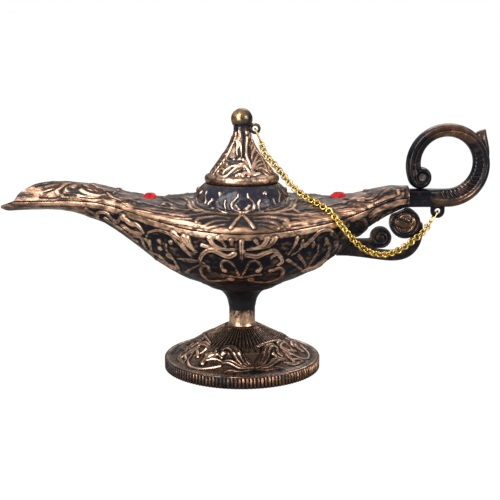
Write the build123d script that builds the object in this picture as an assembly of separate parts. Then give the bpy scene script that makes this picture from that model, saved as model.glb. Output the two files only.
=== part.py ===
from build123d import *
from math import cos, radians, sin
import os

# Genie oil lamp: a two-shell cast body on a domed foot, with a lift-off lid on a chain,
# a ring handle at the rear and a scroll bracket under the tail.
# Millimetres. The origin is on the ground at the foot's axis, +Z up, the handle towards +X
# and the spout towards -X.

# Overall lengths of the body, measured from the foot's axis
spout_reach = 99.2
tail_reach = 68.0
body_half_width = 32.7
hull_rise = 49.1
shell_wall = 1.5
seam_gap = 0.15
fit_gap = 0.1
overrun = 5.0

# Foot
foot_radius = 32.7
foot_edge_height = 4.8
foot_height = 18.8
foot_hub_radius = 6.3
foot_wall = 1.9
foot_hub_ceiling_depth = 3.9

# Copper band between the foot and the body
band_height = 5.1
band_bottom_radius = 5.9
band_top_radius = 5.4

# Fixing bolt through foot, band and body
bolt_radius = 1.5
bolt_head_radius = 3.4
bolt_head_height = 2.4
washer_radius = 5.0
washer_thickness = 0.6
bolt_grip = 6.5

# Stem funnel that grows out of the lower shell
funnel_height = 11.6
funnel_bottom_radius = 5.3
funnel_top_radius = 14.0

# Neck on the upper shell
neck_rim_radius = 15.0
neck_bore_radius = 13.3
neck_rise = 4.9
neck_foot_radius = 22.6
neck_foot_drop = 4.2
neck_waist_radius = 17.5
neck_land = 3.0

# Lid
lid_rim_radius = 15.3
lid_rim_height = 3.0
lid_shoulder_radius = 14.3
lid_top_radius = 3.4
lid_cone_height = 17.6
lid_wall = 1.3
lid_plug_depth = 2.8
lid_plug_gap = 0.3
lid_seat_gap = 0.1
lid_crown_thickness = 3.0

# Ball finial on the lid, with its side loop and nut
ball_radius = 4.4
ball_rise = 5.2
finial_neck_height = 2.8
stud_radius = 1.2
nut_width = 4.4
nut_thickness = 1.8
nut_room = 0.6
loop_reach = 5.4
loop_rise = 1.3
loop_tube_radius = 0.62
loop_mean_radius = 1.73

# Chain
chain_wire = 0.6
chain_link_length = 3.05
chain_link_width = 2.5
chain_play = 0.2
chain_lay_angle = 45.0
lid_ring_wire = 0.7
lid_ring_length = 7.0
lid_ring_width = 4.0
end_ring_length = 6.8
end_ring_width = 4.4

# Handle
handle_outer_radius = 17.1
handle_hole_radius = 10.6
handle_hole_shift = 0.4
handle_hole_lift = 1.1
handle_depth = 6.6
handle_edge_round = 2.0
handle_overhang = 1.1
shank_share = 0.55
shank_height = 7.5
shank_step = 0.7
shank_depth = 6.0
shank_edge_round = 1.2
tenon_radius = 2.2
tenon_length = 7.0
curl_radius = 4.2
curl_back_share = 0.632
curl_drop_share = 0.263
curl_stud_radius = 1.0
curl_stud_head_radius = 1.5
curl_stud_head_height = 0.8
thumb_angle = 44.0
thumb_length = 3.5
thumb_root_radius = 3.4
thumb_tip_radius = 0.9
thumb_root_depth = 5.0

# Chain eye, a flat plate let into a slot under the handle
eye_outer_radius = 2.9
eye_hole_radius = 1.15
eye_thickness = 1.4
eye_back_share = 0.205
eye_drop = 1.7
eye_tang_length = 4.6

# Scroll bracket below the tail
bracket_depth = 5.0
arm_width = 3.9
stalk_width = 3.6
large_scroll_radius = 6.3
large_scroll_reach_share = 0.988
large_scroll_height_share = 0.838
small_scroll_radius = 4.3
small_scroll_reach_share = 0.844
small_scroll_height_share = 0.756
scroll_groove_width = 0.6
scroll_groove_depth = 0.7
scroll_turns = 1.6
scroll_eye_share = 0.28
scroll_edge_share = 0.78
scroll_points = 14
large_scroll_start = -60.0
small_scroll_start = -90.0

# Stones and their settings
spout_gem_radius = 2.9
tail_gem_radius = 3.5
spout_gem_reach = 37.8
tail_gem_reach = 39.8
gem_height = 2.9
gem_table_share = 0.55
gem_girdle_height = 0.6
gem_facets = 8
bezel_wall = 0.6
bezel_height = 1.2
gem_seat_depth = 0.6

# Heights that follow from the sizes above
band_top = foot_height + band_height
keel_level = band_top
neck_base = keel_level + hull_rise
neck_top = neck_base + neck_rise
lid_bottom = neck_top + lid_seat_gap
lid_shoulder = lid_bottom + lid_rim_height
lid_top = lid_shoulder + lid_cone_height
ball_centre = lid_top + ball_rise
loop_height = lid_top + loop_rise

# Body stations: reach, half width, keel, seam and crown, as shares of the reach on that
# side, of body_half_width and, for the three heights, of hull_rise above keel_level
spout_station_shares = (
    (0.998, 0.031, 0.872, 0.888, 0.920),
    (0.980, 0.092, 0.863, 0.912, 1.050),
    (0.958, 0.138, 0.861, 0.930, 1.100),
    (0.925, 0.178, 0.866, 0.937, 1.112),
    (0.873, 0.200, 0.872, 0.940, 1.114),
    (0.776, 0.214, 0.872, 0.944, 1.110),
    (0.706, 0.214, 0.852, 0.946, 1.104),
    (0.609, 0.245, 0.788, 0.938, 1.081),
    (0.543, 0.305, 0.713, 0.920, 1.045),
    (0.478, 0.398, 0.623, 0.893, 1.004),
    (0.412, 0.520, 0.524, 0.864, 0.971),
    (0.347, 0.650, 0.426, 0.836, 0.957),
    (0.280, 0.770, 0.344, 0.811, 0.964),
    (0.202, 0.885, 0.275, 0.786, 0.984),
    (0.101, 0.972, 0.224, 0.768, 0.997),
)
centre_station_share = (0.0, 1.0, 0.206, 0.762, 1.0)
tail_station_shares = (
    (0.147, 0.972, 0.224, 0.768, 0.997),
    (0.294, 0.887, 0.278, 0.784, 0.986),
    (0.441, 0.740, 0.366, 0.803, 0.970),
    (0.559, 0.575, 0.475, 0.824, 0.965),
    (0.647, 0.442, 0.573, 0.848, 0.982),
    (0.759, 0.310, 0.700, 0.894, 1.020),
    (0.874, 0.232, 0.800, 0.945, 1.054),
    (1.000, 0.195, 0.880, 0.972, 1.059),
)
cavity_tail_stations = 5

# Mouth of the spout, from the tip of its lip up to the top of its hood, as shares of
# spout_reach and of hull_rise above keel_level
mouth_shares = (
    (1.010, 0.884),
    (0.985, 0.902),
    (0.951, 0.935),
    (0.927, 1.010),
    (0.893, 1.061),
    (0.860, 1.087),
    (0.805, 1.125),
)

# Profiles of the stem funnel and of the neck, as shares of the step out and of the rise
funnel_flare_shares = (
    (0.0, 0.0),
    (0.03, 0.18),
    (0.15, 0.53),
    (0.47, 0.82),
    (1.0, 1.0),
)
neck_flare_shares = (
    (1.0, 0.0),
    (0.86, 0.20),
    (0.43, 0.57),
    (0.12, 0.86),
    (0.0, 1.0),
)

# Cone of the lid, shares of the step in radius and of the height
lid_cone_shares = (
    (1.0, 0.0),
    (0.59, 0.34),
    (0.28, 0.69),
    (0.0, 1.0),
)

# Foot dome, radius against foot_radius and height against foot_height
foot_dome_shares = (
    (0.306, 0.890),
    (0.428, 0.755),
    (0.550, 0.645),
    (0.673, 0.500),
    (0.795, 0.370),
    (0.902, 0.278),
)

# Middle lines of the bracket's arm, round to the large scroll, and of the stalk of the
# small one, as shares of tail_reach and of the crown's height above the ground
bracket_arm_shares = (
    (0.500, 0.672),
    (0.628, 0.680),
    (0.746, 0.669),
    (0.840, 0.657),
    (0.934, 0.652),
    (1.003, 0.671),
    (1.047, 0.715),
    (1.066, 0.775),
    (1.064, 0.840),
)
bracket_stalk_shares = (
    (0.600, 0.722),
    (0.735, 0.720),
    (0.844, 0.722),
)

# Ways that the long rings on the lid and on the eye are pulled, by length along X, Y and Z
lid_ring_pull_shares = (0.393, -0.055, -0.918)
end_ring_pull_shares = (-0.530, -0.275, -0.800)

# Chain between the two rings: how far out towards the eye, how far to the side against
# body_half_width, and how high between the eye at 0 and the loop of the lid at 1
chain_hang_shares = (
    (0.116, -0.015, 0.702),
    (0.156, -0.043, 0.592),
    (0.204, -0.085, 0.462),
    (0.247, -0.155, 0.341),
    (0.292, -0.255, 0.255),
    (0.337, -0.370, 0.196),
    (0.384, -0.490, 0.145),
    (0.435, -0.602, 0.066),
    (0.485, -0.640, -0.079),
    (0.524, -0.624, -0.191),
    (0.567, -0.575, -0.306),
    (0.614, -0.508, -0.392),
    (0.670, -0.428, -0.454),
    (0.725, -0.352, -0.472),
    (0.782, -0.284, -0.445),
    (0.840, -0.226, -0.374),
    (0.888, -0.180, -0.295),
    (0.920, -0.142, -0.240),
)


def height_at(share):
    """Height of a share of the hull's rise above its keel level."""
    return keel_level + share * hull_rise


# Places on the handle and the bracket that follow from the tail and the ring
quarter = 90.0
tail_end_keel = height_at(tail_station_shares[-1][2])
shank_bottom = tail_end_keel + shank_step
shank_start = tail_reach + fit_gap
shank_middle_height = shank_bottom + shank_height / 2
handle_centre_reach = shank_start + handle_outer_radius - handle_overhang
handle_centre_height = shank_bottom + handle_outer_radius
shank_length = (handle_centre_reach - shank_start) * shank_share
curl_reach = handle_centre_reach - curl_back_share * handle_outer_radius
curl_height = handle_centre_height - curl_drop_share * handle_outer_radius
eye_reach = handle_centre_reach - eye_back_share * handle_outer_radius
eye_height = shank_bottom - eye_drop
large_scroll_reach = large_scroll_reach_share * tail_reach
large_scroll_height = large_scroll_height_share * neck_base
small_scroll_reach = small_scroll_reach_share * tail_reach
small_scroll_height = small_scroll_height_share * neck_base


def hull_stations(spout_side, tail_side, grow):
    """Stations as (x, half width, keel, seam, crown), the skin moved out by grow."""
    rows = [(-row[0] * spout_reach, row) for row in spout_side]
    rows.append((centre_station_share[0], centre_station_share))
    rows.extend((row[0] * tail_reach, row) for row in tail_side)
    stations = []
    for x, row in rows:
        half_width = row[1] * body_half_width + grow
        keel = height_at(row[2]) - grow
        crown = height_at(row[4]) + grow
        stations.append((x, half_width, keel, height_at(row[3]), crown))
    return stations


def cavity_stations():
    """The inside of both shells, open at the mouth and closed ahead of the tail."""
    tail_side = tail_station_shares[:cavity_tail_stations]
    stations = hull_stations(spout_station_shares[1:], tail_side, -shell_wall)
    mouth_end = (-spout_reach - overrun,) + stations[0][1:]
    return [mouth_end] + stations


def half_ellipse(station, side, rim):
    """Section on one side of the seam: -1 below it, 1 above it.

    With a rim, straight sides carry the section past the seam by that much.
    """
    x, half_width, keel, seam, crown = station
    rise = crown - seam if side > 0 else seam - keel
    turn = side * quarter
    near = EllipticalCenterArc((0, 0), half_width, rise, 0, arc_size=turn)
    far = EllipticalCenterArc((0, 0), half_width, rise, turn, arc_size=turn)
    corners = [(-half_width, 0), (half_width, 0)]
    if rim:
        corners[1:1] = [(-half_width, -side * rim), (half_width, -side * rim)]
    plane = Plane(origin=(x, 0, seam), x_dir=(0, 1, 0), z_dir=(1, 0, 0))
    return plane * make_face(near + far + Polyline(*corners))


def loft_side(stations, side, rim):
    return loft([half_ellipse(station, side, rim) for station in stations])


def hull_side(side, grow):
    """One side of the hull as a solid without a hollow, its skin moved out by grow.

    The lip of the mouth belongs to the lower side, so the upper one starts a station later.
    """
    spout_side = spout_station_shares[1:] if side > 0 else spout_station_shares
    return loft_side(hull_stations(spout_side, tail_station_shares, grow), side, 0)


def cavity_side(side):
    return loft_side(cavity_stations(), side, overrun)


def revolve_outline(edges):
    """Turn an outline drawn as radius and height about the lamp's axis."""
    return revolve(Plane.XZ * make_face(edges), axis=Axis.Z)


def upright_cylinder(radius, low, high):
    return Pos(0, 0, (low + high) / 2) * Cylinder(radius, high - low)


def cross_cylinder(radius, depth, reach, height):
    """Cylinder along Y, centred on the lamp's middle plane."""
    return Pos(reach, 0, height) * Rot(quarter, 0, 0) * Cylinder(radius, depth)


def mouth_cutter():
    """Everything ahead of the mouth's curve, right across the spout."""
    curve_points = [(-share * spout_reach, height_at(rise)) for share, rise in mouth_shares]
    lip = curve_points[0]
    hood = curve_points[-1]
    far = lip[0] - overrun
    high = hood[1] + overrun
    outline = Spline(*curve_points)
    outline += Polyline(hood, (hood[0], high), (far, high), (far, lip[1]), lip)
    return extrude(Plane.XZ * make_face(outline), amount=body_half_width, both=True)


def funnel():
    """Solid stem flare, which the hollow of the lower shell trims on top."""
    flare_points = [
        (
            funnel_bottom_radius + out * (funnel_top_radius - funnel_bottom_radius),
            keel_level + up * funnel_height,
        )
        for out, up in funnel_flare_shares
    ]
    crown = keel_level + funnel_height + shell_wall
    outline = Spline(*flare_points)
    outline += Polyline(
        flare_points[-1], (funnel_top_radius, crown), (0, crown), (0, keel_level),
        flare_points[0],
    )
    return revolve_outline(outline)


def bolt_bore(radius):
    """Bore for the fixing bolt, from the ground up to its end in the funnel."""
    return upright_cylinder(radius, 0, keel_level + bolt_grip)


def tenon(radius, gap):
    """Round tenon of the handle, which runs into the end of the tail."""
    length = tenon_length + gap
    bar = Cylinder(radius + gap, length + shank_length / 2)
    centre = tail_reach - length + (length + shank_length / 2) / 2
    return Pos(centre, 0, shank_middle_height) * Rot(0, quarter, 0) * bar


def make_lower_body():
    shell = hull_side(-1, 0) + funnel() - cavity_side(-1)
    return shell - mouth_cutter() - bolt_bore(bolt_radius + fit_gap) - tenon(tenon_radius, fit_gap)


def neck_collar():
    """Concave collar from the shoulder of the upper shell up to the rim of the neck."""
    rise = neck_rise + neck_foot_drop
    foot = neck_base - neck_foot_drop
    flare_points = [
        (
            neck_rim_radius + out * (neck_foot_radius - neck_rim_radius),
            foot + up * rise,
        )
        for out, up in neck_flare_shares
    ]
    outline = Spline(*flare_points)
    outline += Polyline(flare_points[-1], (0, neck_top), (0, foot), flare_points[0])
    return revolve_outline(outline)


def neck_bore():
    """Round filler hole, which widens under the neck."""
    land = neck_top - neck_land
    below = neck_base - neck_foot_drop
    return revolve_outline(Polyline(
        (0, neck_top + overrun), (neck_bore_radius, neck_top + overrun),
        (neck_bore_radius, land), (neck_waist_radius, below),
        (neck_waist_radius, below - overrun), (0, below - overrun), (0, neck_top + overrun),
    ))


def gem_pocket(reach, radius):
    """Flat seat for a stone's setting on the crown of the upper shell."""
    floor = crown_height(reach) - gem_seat_depth
    return Pos(reach, 0, floor + overrun / 2) * Cylinder(radius + bezel_wall + fit_gap, overrun)


def crown_height(reach):
    """Height of the hull's crown at a reach between two stations."""
    stations = hull_stations(spout_station_shares, tail_station_shares, 0)
    for before, after in zip(stations, stations[1:]):
        if before[0] <= reach <= after[0]:
            share = (reach - before[0]) / (after[0] - before[0])
            return before[4] + share * (after[4] - before[4])
    return stations[-1][4]


def make_upper_body():
    shell = Pos(0, 0, seam_gap) * hull_side(1, 0) + neck_collar() - cavity_side(1)
    shell = shell - neck_bore() - mouth_cutter() - tenon(tenon_radius, fit_gap)
    shell = shell - gem_pocket(-spout_gem_reach, spout_gem_radius)
    return shell - gem_pocket(tail_gem_reach, tail_gem_radius)


def make_foot():
    """Thin domed casting on a straight reeded edge, hollow below, with a thick hub."""
    dome_points = [(foot_hub_radius, foot_height)]
    dome_points += [
        (out * foot_radius, up * foot_height) for out, up in foot_dome_shares
    ]
    edge_top = (foot_radius, foot_edge_height)
    inner_radius = foot_radius - foot_wall
    ceiling = foot_height - foot_hub_ceiling_depth
    hollow_points = [
        (out * inner_radius, up * foot_height - foot_wall) for out, up in foot_dome_shares
    ]
    rim_inside = (inner_radius, foot_edge_height - foot_wall)
    outline = Polyline((0, foot_height), dome_points[0])
    outline += Spline(*dome_points)
    outline += Polyline(dome_points[-1], edge_top, (foot_radius, 0), (inner_radius, 0), rim_inside,
                        hollow_points[-1])
    outline += Spline(*reversed(hollow_points))
    outline += Polyline(hollow_points[0], (foot_hub_radius, ceiling), (0, ceiling),
                        (0, foot_height))
    return revolve_outline(outline) - bolt_bore(bolt_radius + fit_gap)


def make_stem_band():
    band = Pos(0, 0, foot_height + band_height / 2) * Cone(
        band_bottom_radius, band_top_radius, band_height)
    return band - bolt_bore(bolt_radius + fit_gap)


def make_foot_washer():
    ceiling = foot_height - foot_hub_ceiling_depth
    washer = upright_cylinder(washer_radius, ceiling - washer_thickness, ceiling)
    return washer - bolt_bore(bolt_radius + fit_gap)


def make_foot_bolt():
    seat = foot_height - foot_hub_ceiling_depth - washer_thickness
    shank = upright_cylinder(bolt_radius, seat - bolt_head_height / 2,
                             keel_level + bolt_grip - fit_gap)
    hexagon = RegularPolygon(bolt_head_radius, 6)
    head = Pos(0, 0, seat - bolt_head_height) * extrude(hexagon, amount=bolt_head_height)
    return shank + head


def lid_cone(shoulder_radius, top_radius, low, high):
    """Points up one side of the lid's hollow-sided cone."""
    return [
        (top_radius + out * (shoulder_radius - top_radius), low + up * (high - low))
        for out, up in lid_cone_shares
    ]


def make_lid():
    skin = lid_cone(lid_shoulder_radius, lid_top_radius, lid_shoulder, lid_top)
    plug_radius = neck_bore_radius - lid_plug_gap
    plug_bottom = lid_bottom - lid_plug_depth
    outline = Polyline((0, lid_top), skin[-1])
    outline += Spline(*reversed(skin))
    outline += Polyline(
        skin[0], (lid_rim_radius, lid_shoulder), (lid_rim_radius, lid_bottom),
        (plug_radius, lid_bottom), (plug_radius, plug_bottom), (0, plug_bottom), (0, lid_top),
    )
    ceiling = lid_top - lid_crown_thickness
    hollow = lid_cone(lid_shoulder_radius - lid_wall, nut_width / 2 + nut_room, lid_shoulder,
                      ceiling)
    inner = Polyline((0, ceiling), hollow[-1])
    inner += Spline(*reversed(hollow))
    throat = plug_radius - lid_wall
    inner += Polyline(
        hollow[0], (throat, lid_shoulder - lid_wall), (throat, plug_bottom - overrun),
        (0, plug_bottom - overrun), (0, ceiling),
    )
    stud_hole = upright_cylinder(stud_radius + fit_gap, lid_bottom, lid_top + overrun)
    return revolve_outline(outline) - revolve_outline(inner) - stud_hole


def make_lid_finial():
    """Ball on a short neck, with its threaded stud and the chain loop at its side."""
    ball = Pos(0, 0, ball_centre) * Sphere(ball_radius)
    seat = lid_top + fit_gap
    neck = upright_cylinder(lid_top_radius, seat, seat + finial_neck_height)
    stud_end = lid_top - lid_crown_thickness - nut_thickness - 2 * fit_gap
    stud = upright_cylinder(stud_radius, stud_end, ball_centre)
    loop = Pos(loop_reach, 0, loop_height) * Rot(quarter, 0, 0) * Torus(
        loop_mean_radius, loop_tube_radius)
    return ball + neck + loop + stud


def make_finial_nut():
    top = lid_top - lid_crown_thickness - fit_gap
    hexagon = RegularPolygon(nut_width / 2, 6)
    nut = Pos(0, 0, top - nut_thickness) * extrude(hexagon, amount=nut_thickness)
    return nut - upright_cylinder(stud_radius + fit_gap, lid_bottom, lid_top)


def link(length, width, wire):
    """Closed oval wire link, its length along X, lying in the XY plane."""
    bend = (width - wire) / 2
    straight = length - width
    half_turn = Torus(bend, wire / 2, major_angle=180, align=None)
    right = Pos(straight / 2, 0, 0) * Rot(0, 0, -quarter) * half_turn
    left = Pos(-straight / 2, 0, 0) * Rot(0, 0, quarter) * half_turn
    bar = Rot(0, quarter, 0) * Cylinder(wire / 2, straight)
    return right + left + Pos(0, bend, 0) * bar + Pos(0, -bend, 0) * bar


def hanging_ring(hook, pull, length, width, wire):
    """Long ring through an eye at hook, standing across the eye and pulled along pull."""
    ahead = Vector(*pull).normalized()
    across = ahead.cross(Vector(0, 1, 0)).normalized()
    centre = Vector(*hook) + ahead * ((length - wire) / 2)
    return Plane(origin=centre, x_dir=ahead, z_dir=across) * link(length, width, wire)


def far_bend(hook, pull, length, wire):
    """Middle of the wire at the far end of such a ring."""
    return Vector(*hook) + Vector(*pull).normalized() * (length - wire)


def chain_point(shares):
    along, across, up = shares
    return (
        along * eye_reach,
        across * body_half_width,
        eye_height + up * (loop_height - eye_height),
    )


def make_chain():
    """Round-wire links, each turned a quarter against the next, along the hanging route."""
    pitch = chain_link_length - 2 * chain_wire - chain_play
    half_link = (chain_link_length - chain_wire) / 2
    first = half_link - (lid_ring_wire + chain_wire) / 2 - chain_play
    last = half_link - chain_wire - chain_play
    start = far_bend(lid_hook, lid_ring_pull_shares, lid_ring_length, lid_ring_wire)
    finish = far_bend(eye_hook, end_ring_pull_shares, end_ring_length, chain_wire)
    approach = far_bend(eye_hook, end_ring_pull_shares, end_ring_length + chain_link_length / 2,
                        chain_wire)
    hang = [chain_point(shares) for shares in chain_hang_shares]
    route = Spline(start, *hang, approach, finish)
    run = route.length - first - last
    steps = round(run / pitch)
    step = run / steps
    single = link(chain_link_length, chain_link_width, chain_wire)
    links = []
    for number in range(steps + 1):
        along = (first + number * step) / route.length
        centre = route.position_at(along)
        ahead = route.tangent_at(along)
        side = ahead.cross(Vector(0, 0, 1)).normalized()
        frame = Plane(origin=centre, x_dir=ahead, z_dir=side)
        lay = chain_lay_angle + quarter * (number % 2)
        links.append((frame * Rot(lay, 0, 0) * single).solid())
    print("chain links", len(links), "pitch", round(step, 3), "route", round(route.length, 1))
    return Compound(links)


def rounded_ring():
    """Ring of the handle, thicker below than above, with rounded edges."""
    outer = cross_cylinder(handle_outer_radius, handle_depth, handle_centre_reach,
                           handle_centre_height)
    hole = cross_cylinder(handle_hole_radius, handle_depth + overrun,
                          handle_centre_reach - handle_hole_shift,
                          handle_centre_height + handle_hole_lift)
    ring = outer - hole
    edges = ring.edges().filter_by(GeomType.CIRCLE)
    return fillet(edges, handle_edge_round)


def make_handle():
    """Cast ring with its square shank, rolled curl, thumb leaf and the tenon for the tail."""
    shank = Pos(shank_start + shank_length / 2, 0, shank_middle_height) * Box(
        shank_length, shank_depth, shank_height)
    shank = fillet(shank.edges().filter_by(Axis.X), shank_edge_round)
    curl = cross_cylinder(curl_radius, handle_depth, curl_reach, curl_height)
    neck = Pos(curl_reach, 0, (shank_middle_height + curl_height) / 2) * Box(
        curl_radius, shank_depth - shank_edge_round, curl_height - shank_middle_height)
    leaf_length = thumb_length + thumb_root_depth
    leaf = Cone(thumb_root_radius, thumb_tip_radius, leaf_length)
    leaf_middle = handle_outer_radius + thumb_length - leaf_length / 2
    place = Pos(
        handle_centre_reach + leaf_middle * cos(radians(thumb_angle)),
        0,
        handle_centre_height + leaf_middle * sin(radians(thumb_angle)),
    )
    leaf = place * Rot(0, quarter - thumb_angle, 0) * leaf
    casting = rounded_ring() + shank + curl + neck + leaf + tenon(tenon_radius, 0)
    casting = casting - cross_cylinder(curl_stud_radius + fit_gap, handle_depth + overrun,
                                       curl_reach, curl_height)
    return casting - eye_plate(fit_gap)


def make_curl_stud():
    """Domed pin through the middle of the curl, with a head on each side."""
    pin = cross_cylinder(curl_stud_radius, handle_depth + curl_stud_head_height,
                         curl_reach, curl_height)
    offset = handle_depth / 2 + curl_stud_head_height / 2 + fit_gap
    head = cross_cylinder(curl_stud_head_radius, curl_stud_head_height, curl_reach, curl_height)
    return pin + Pos(0, offset, 0) * head + Pos(0, -offset, 0) * head


def eye_plate(gap):
    """Round plate with a straight tang up into the handle, all its faces moved out by gap."""
    radius = eye_outer_radius + gap
    disc = cross_cylinder(radius, eye_thickness + 2 * gap, eye_reach, eye_height)
    tang = Pos(eye_reach, 0, eye_height + (eye_tang_length + gap) / 2) * Box(
        2 * radius, eye_thickness + 2 * gap, eye_tang_length + gap)
    return disc + tang


def make_chain_eye():
    hole = cross_cylinder(eye_hole_radius, eye_thickness + overrun, eye_reach, eye_height)
    return eye_plate(0) - hole


def scroll_groove(reach, height, radius, start_angle):
    """Spiral groove on both faces of a scroll, wound in towards a round eye."""
    points = []
    for number in range(scroll_points + 1):
        share = number / scroll_points
        distance = radius * (scroll_edge_share + (scroll_eye_share - scroll_edge_share) * share)
        angle = radians(start_angle + 360 * scroll_turns * share)
        points.append((reach + distance * cos(angle), height + distance * sin(angle)))
    line = Plane.XZ * trace(Spline(*points), scroll_groove_width)
    groove = extrude(line, amount=scroll_groove_depth, both=True)
    offset = bracket_depth / 2
    return Pos(0, offset, 0) * groove + Pos(0, -offset, 0) * groove


def bracket_bar(shares, width):
    """Flat bar of even width along a middle line."""
    line = Spline(*[(out * tail_reach, up * neck_base) for out, up in shares])
    return extrude(Plane.XZ * trace(line, width), amount=bracket_depth / 2, both=True)


def make_scroll_bracket():
    """Flat casting under the tail: an arm that rises into a large scroll, and a small one."""
    casting = bracket_bar(bracket_arm_shares, arm_width)
    casting += bracket_bar(bracket_stalk_shares, stalk_width)
    casting += cross_cylinder(large_scroll_radius, bracket_depth, large_scroll_reach,
                              large_scroll_height)
    casting += cross_cylinder(small_scroll_radius, bracket_depth, small_scroll_reach,
                              small_scroll_height)
    casting -= scroll_groove(large_scroll_reach, large_scroll_height, large_scroll_radius,
                             large_scroll_start)
    casting -= scroll_groove(small_scroll_reach, small_scroll_height, small_scroll_radius,
                             small_scroll_start)
    return casting - hull_side(-1, fit_gap)


def gem_seat(reach):
    return crown_height(reach) - gem_seat_depth


def make_gem(reach, radius):
    """Low cut stone: a straight girdle and flat facets up to a flat table."""
    base = gem_seat(reach)
    girdle_outline = RegularPolygon(radius, gem_facets)
    table_outline = RegularPolygon(radius * gem_table_share, gem_facets)
    girdle = extrude(girdle_outline, amount=gem_girdle_height)
    crown = loft([
        Pos(0, 0, gem_girdle_height) * girdle_outline,
        Pos(0, 0, gem_height) * table_outline,
    ])
    return Pos(reach, 0, base) * (girdle + crown)


def make_bezel(reach, radius):
    base = gem_seat(reach)
    middle = base + bezel_height / 2
    outer = Pos(reach, 0, middle) * Cylinder(radius + bezel_wall, bezel_height)
    inner = Pos(reach, 0, middle) * Cylinder(radius + fit_gap, bezel_height)
    return outer - inner


lid_hook = (loop_reach, 0, loop_height)
eye_hook = (eye_reach, 0, eye_height)

parts = {
    "foot": make_foot(),
    "foot_washer": make_foot_washer(),
    "foot_bolt": make_foot_bolt(),
    "stem_band": make_stem_band(),
    "lower_body": make_lower_body(),
    "upper_body": make_upper_body(),
    "lid": make_lid(),
    "lid_finial": make_lid_finial(),
    "finial_nut": make_finial_nut(),
    "lid_ring": hanging_ring(lid_hook, lid_ring_pull_shares, lid_ring_length, lid_ring_width,
                             lid_ring_wire),
    "chain": make_chain(),
    "handle_ring": hanging_ring(eye_hook, end_ring_pull_shares, end_ring_length,
                                end_ring_width, chain_wire),
    "chain_eye": make_chain_eye(),
    "handle": make_handle(),
    "curl_stud": make_curl_stud(),
    "scroll_bracket": make_scroll_bracket(),
    "spout_gem": make_gem(-spout_gem_reach, spout_gem_radius),
    "spout_gem_setting": make_bezel(-spout_gem_reach, spout_gem_radius),
    "tail_gem": make_gem(tail_gem_reach, tail_gem_radius),
    "tail_gem_setting": make_bezel(tail_gem_reach, tail_gem_radius),
}

os.makedirs("parts", exist_ok=True)
for name, shape in parts.items():
    export_step(shape, f"parts/{name}.step")
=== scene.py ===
import math

import bmesh
import bpy
import numpy as np
from mathutils import Euler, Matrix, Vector
from mathutils.bvhtree import BVHTree


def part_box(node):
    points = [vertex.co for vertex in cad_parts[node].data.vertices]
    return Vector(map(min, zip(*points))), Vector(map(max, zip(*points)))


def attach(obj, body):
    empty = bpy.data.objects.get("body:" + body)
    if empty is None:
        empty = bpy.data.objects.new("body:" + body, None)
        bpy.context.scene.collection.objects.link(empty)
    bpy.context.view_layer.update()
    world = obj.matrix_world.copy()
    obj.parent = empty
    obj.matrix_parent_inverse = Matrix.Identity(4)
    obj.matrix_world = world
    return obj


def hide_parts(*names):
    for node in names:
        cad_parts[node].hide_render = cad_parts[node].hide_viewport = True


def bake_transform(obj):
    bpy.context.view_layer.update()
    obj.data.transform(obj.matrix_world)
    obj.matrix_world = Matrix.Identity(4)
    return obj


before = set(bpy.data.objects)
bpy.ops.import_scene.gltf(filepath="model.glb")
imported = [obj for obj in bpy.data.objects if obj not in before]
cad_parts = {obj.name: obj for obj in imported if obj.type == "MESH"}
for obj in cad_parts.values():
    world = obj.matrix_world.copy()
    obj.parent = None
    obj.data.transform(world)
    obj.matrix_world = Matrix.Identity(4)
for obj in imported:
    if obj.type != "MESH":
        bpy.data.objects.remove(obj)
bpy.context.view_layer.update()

# Where the photograph was taken from
# The lamp stands side on, a little below the eye. The ornament is traced from the photograph,
# so its camera comes first: its place, its tilt and its focal length in pixels.
MM = 0.001
photo_size = 500
focal_pixels = 980.0
camera_place = Vector((0.00332, -0.4, 0.126))
camera_turn = Euler((math.radians(79.2), 0.0, 0.0))
camera_data = bpy.data.cameras.new("camera")
camera_data.sensor_width = 36.0
camera_data.lens = camera_data.sensor_width * focal_pixels / photo_size
camera = bpy.data.objects.new("camera", camera_data)
camera.location = camera_place
camera.rotation_euler = camera_turn
bpy.context.scene.collection.objects.link(camera)
bpy.context.scene.camera = camera


def smooth_line(points, steps):
    """Points along a soft curve through the given ones, with steps between each two."""
    points = np.array(points, float)
    if len(points) < 3:
        shares = np.linspace(0, 1, 3 * steps)[:, None]
        return points[0] + (points[-1] - points[0]) * shares
    padded = np.vstack([2 * points[0] - points[1], points, 2 * points[-1] - points[-2]])
    line = []
    for a, b, c, d in zip(padded, padded[1:], padded[2:], padded[3:]):
        for share in np.arange(steps) / steps:
            line.append(0.5 * (2 * b + (c - a) * share + (2 * a - 5 * b + 4 * c - d) * share ** 2
                               + (3 * b - a - 3 * c + d) * share ** 3))
    line.append(points[-1])
    return np.array(line)


def on_surface(tree, pixel):
    """Place on a surface that a pixel of the photograph shows, with its distance."""
    middle = photo_size / 2
    ray = Vector(((pixel[0] - middle) / focal_pixels, (middle - pixel[1]) / focal_pixels, -1))
    ray.rotate(camera_turn)
    ray.normalize()
    place, _, _, distance = tree.ray_cast(camera_place, ray)
    return place, distance


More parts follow.
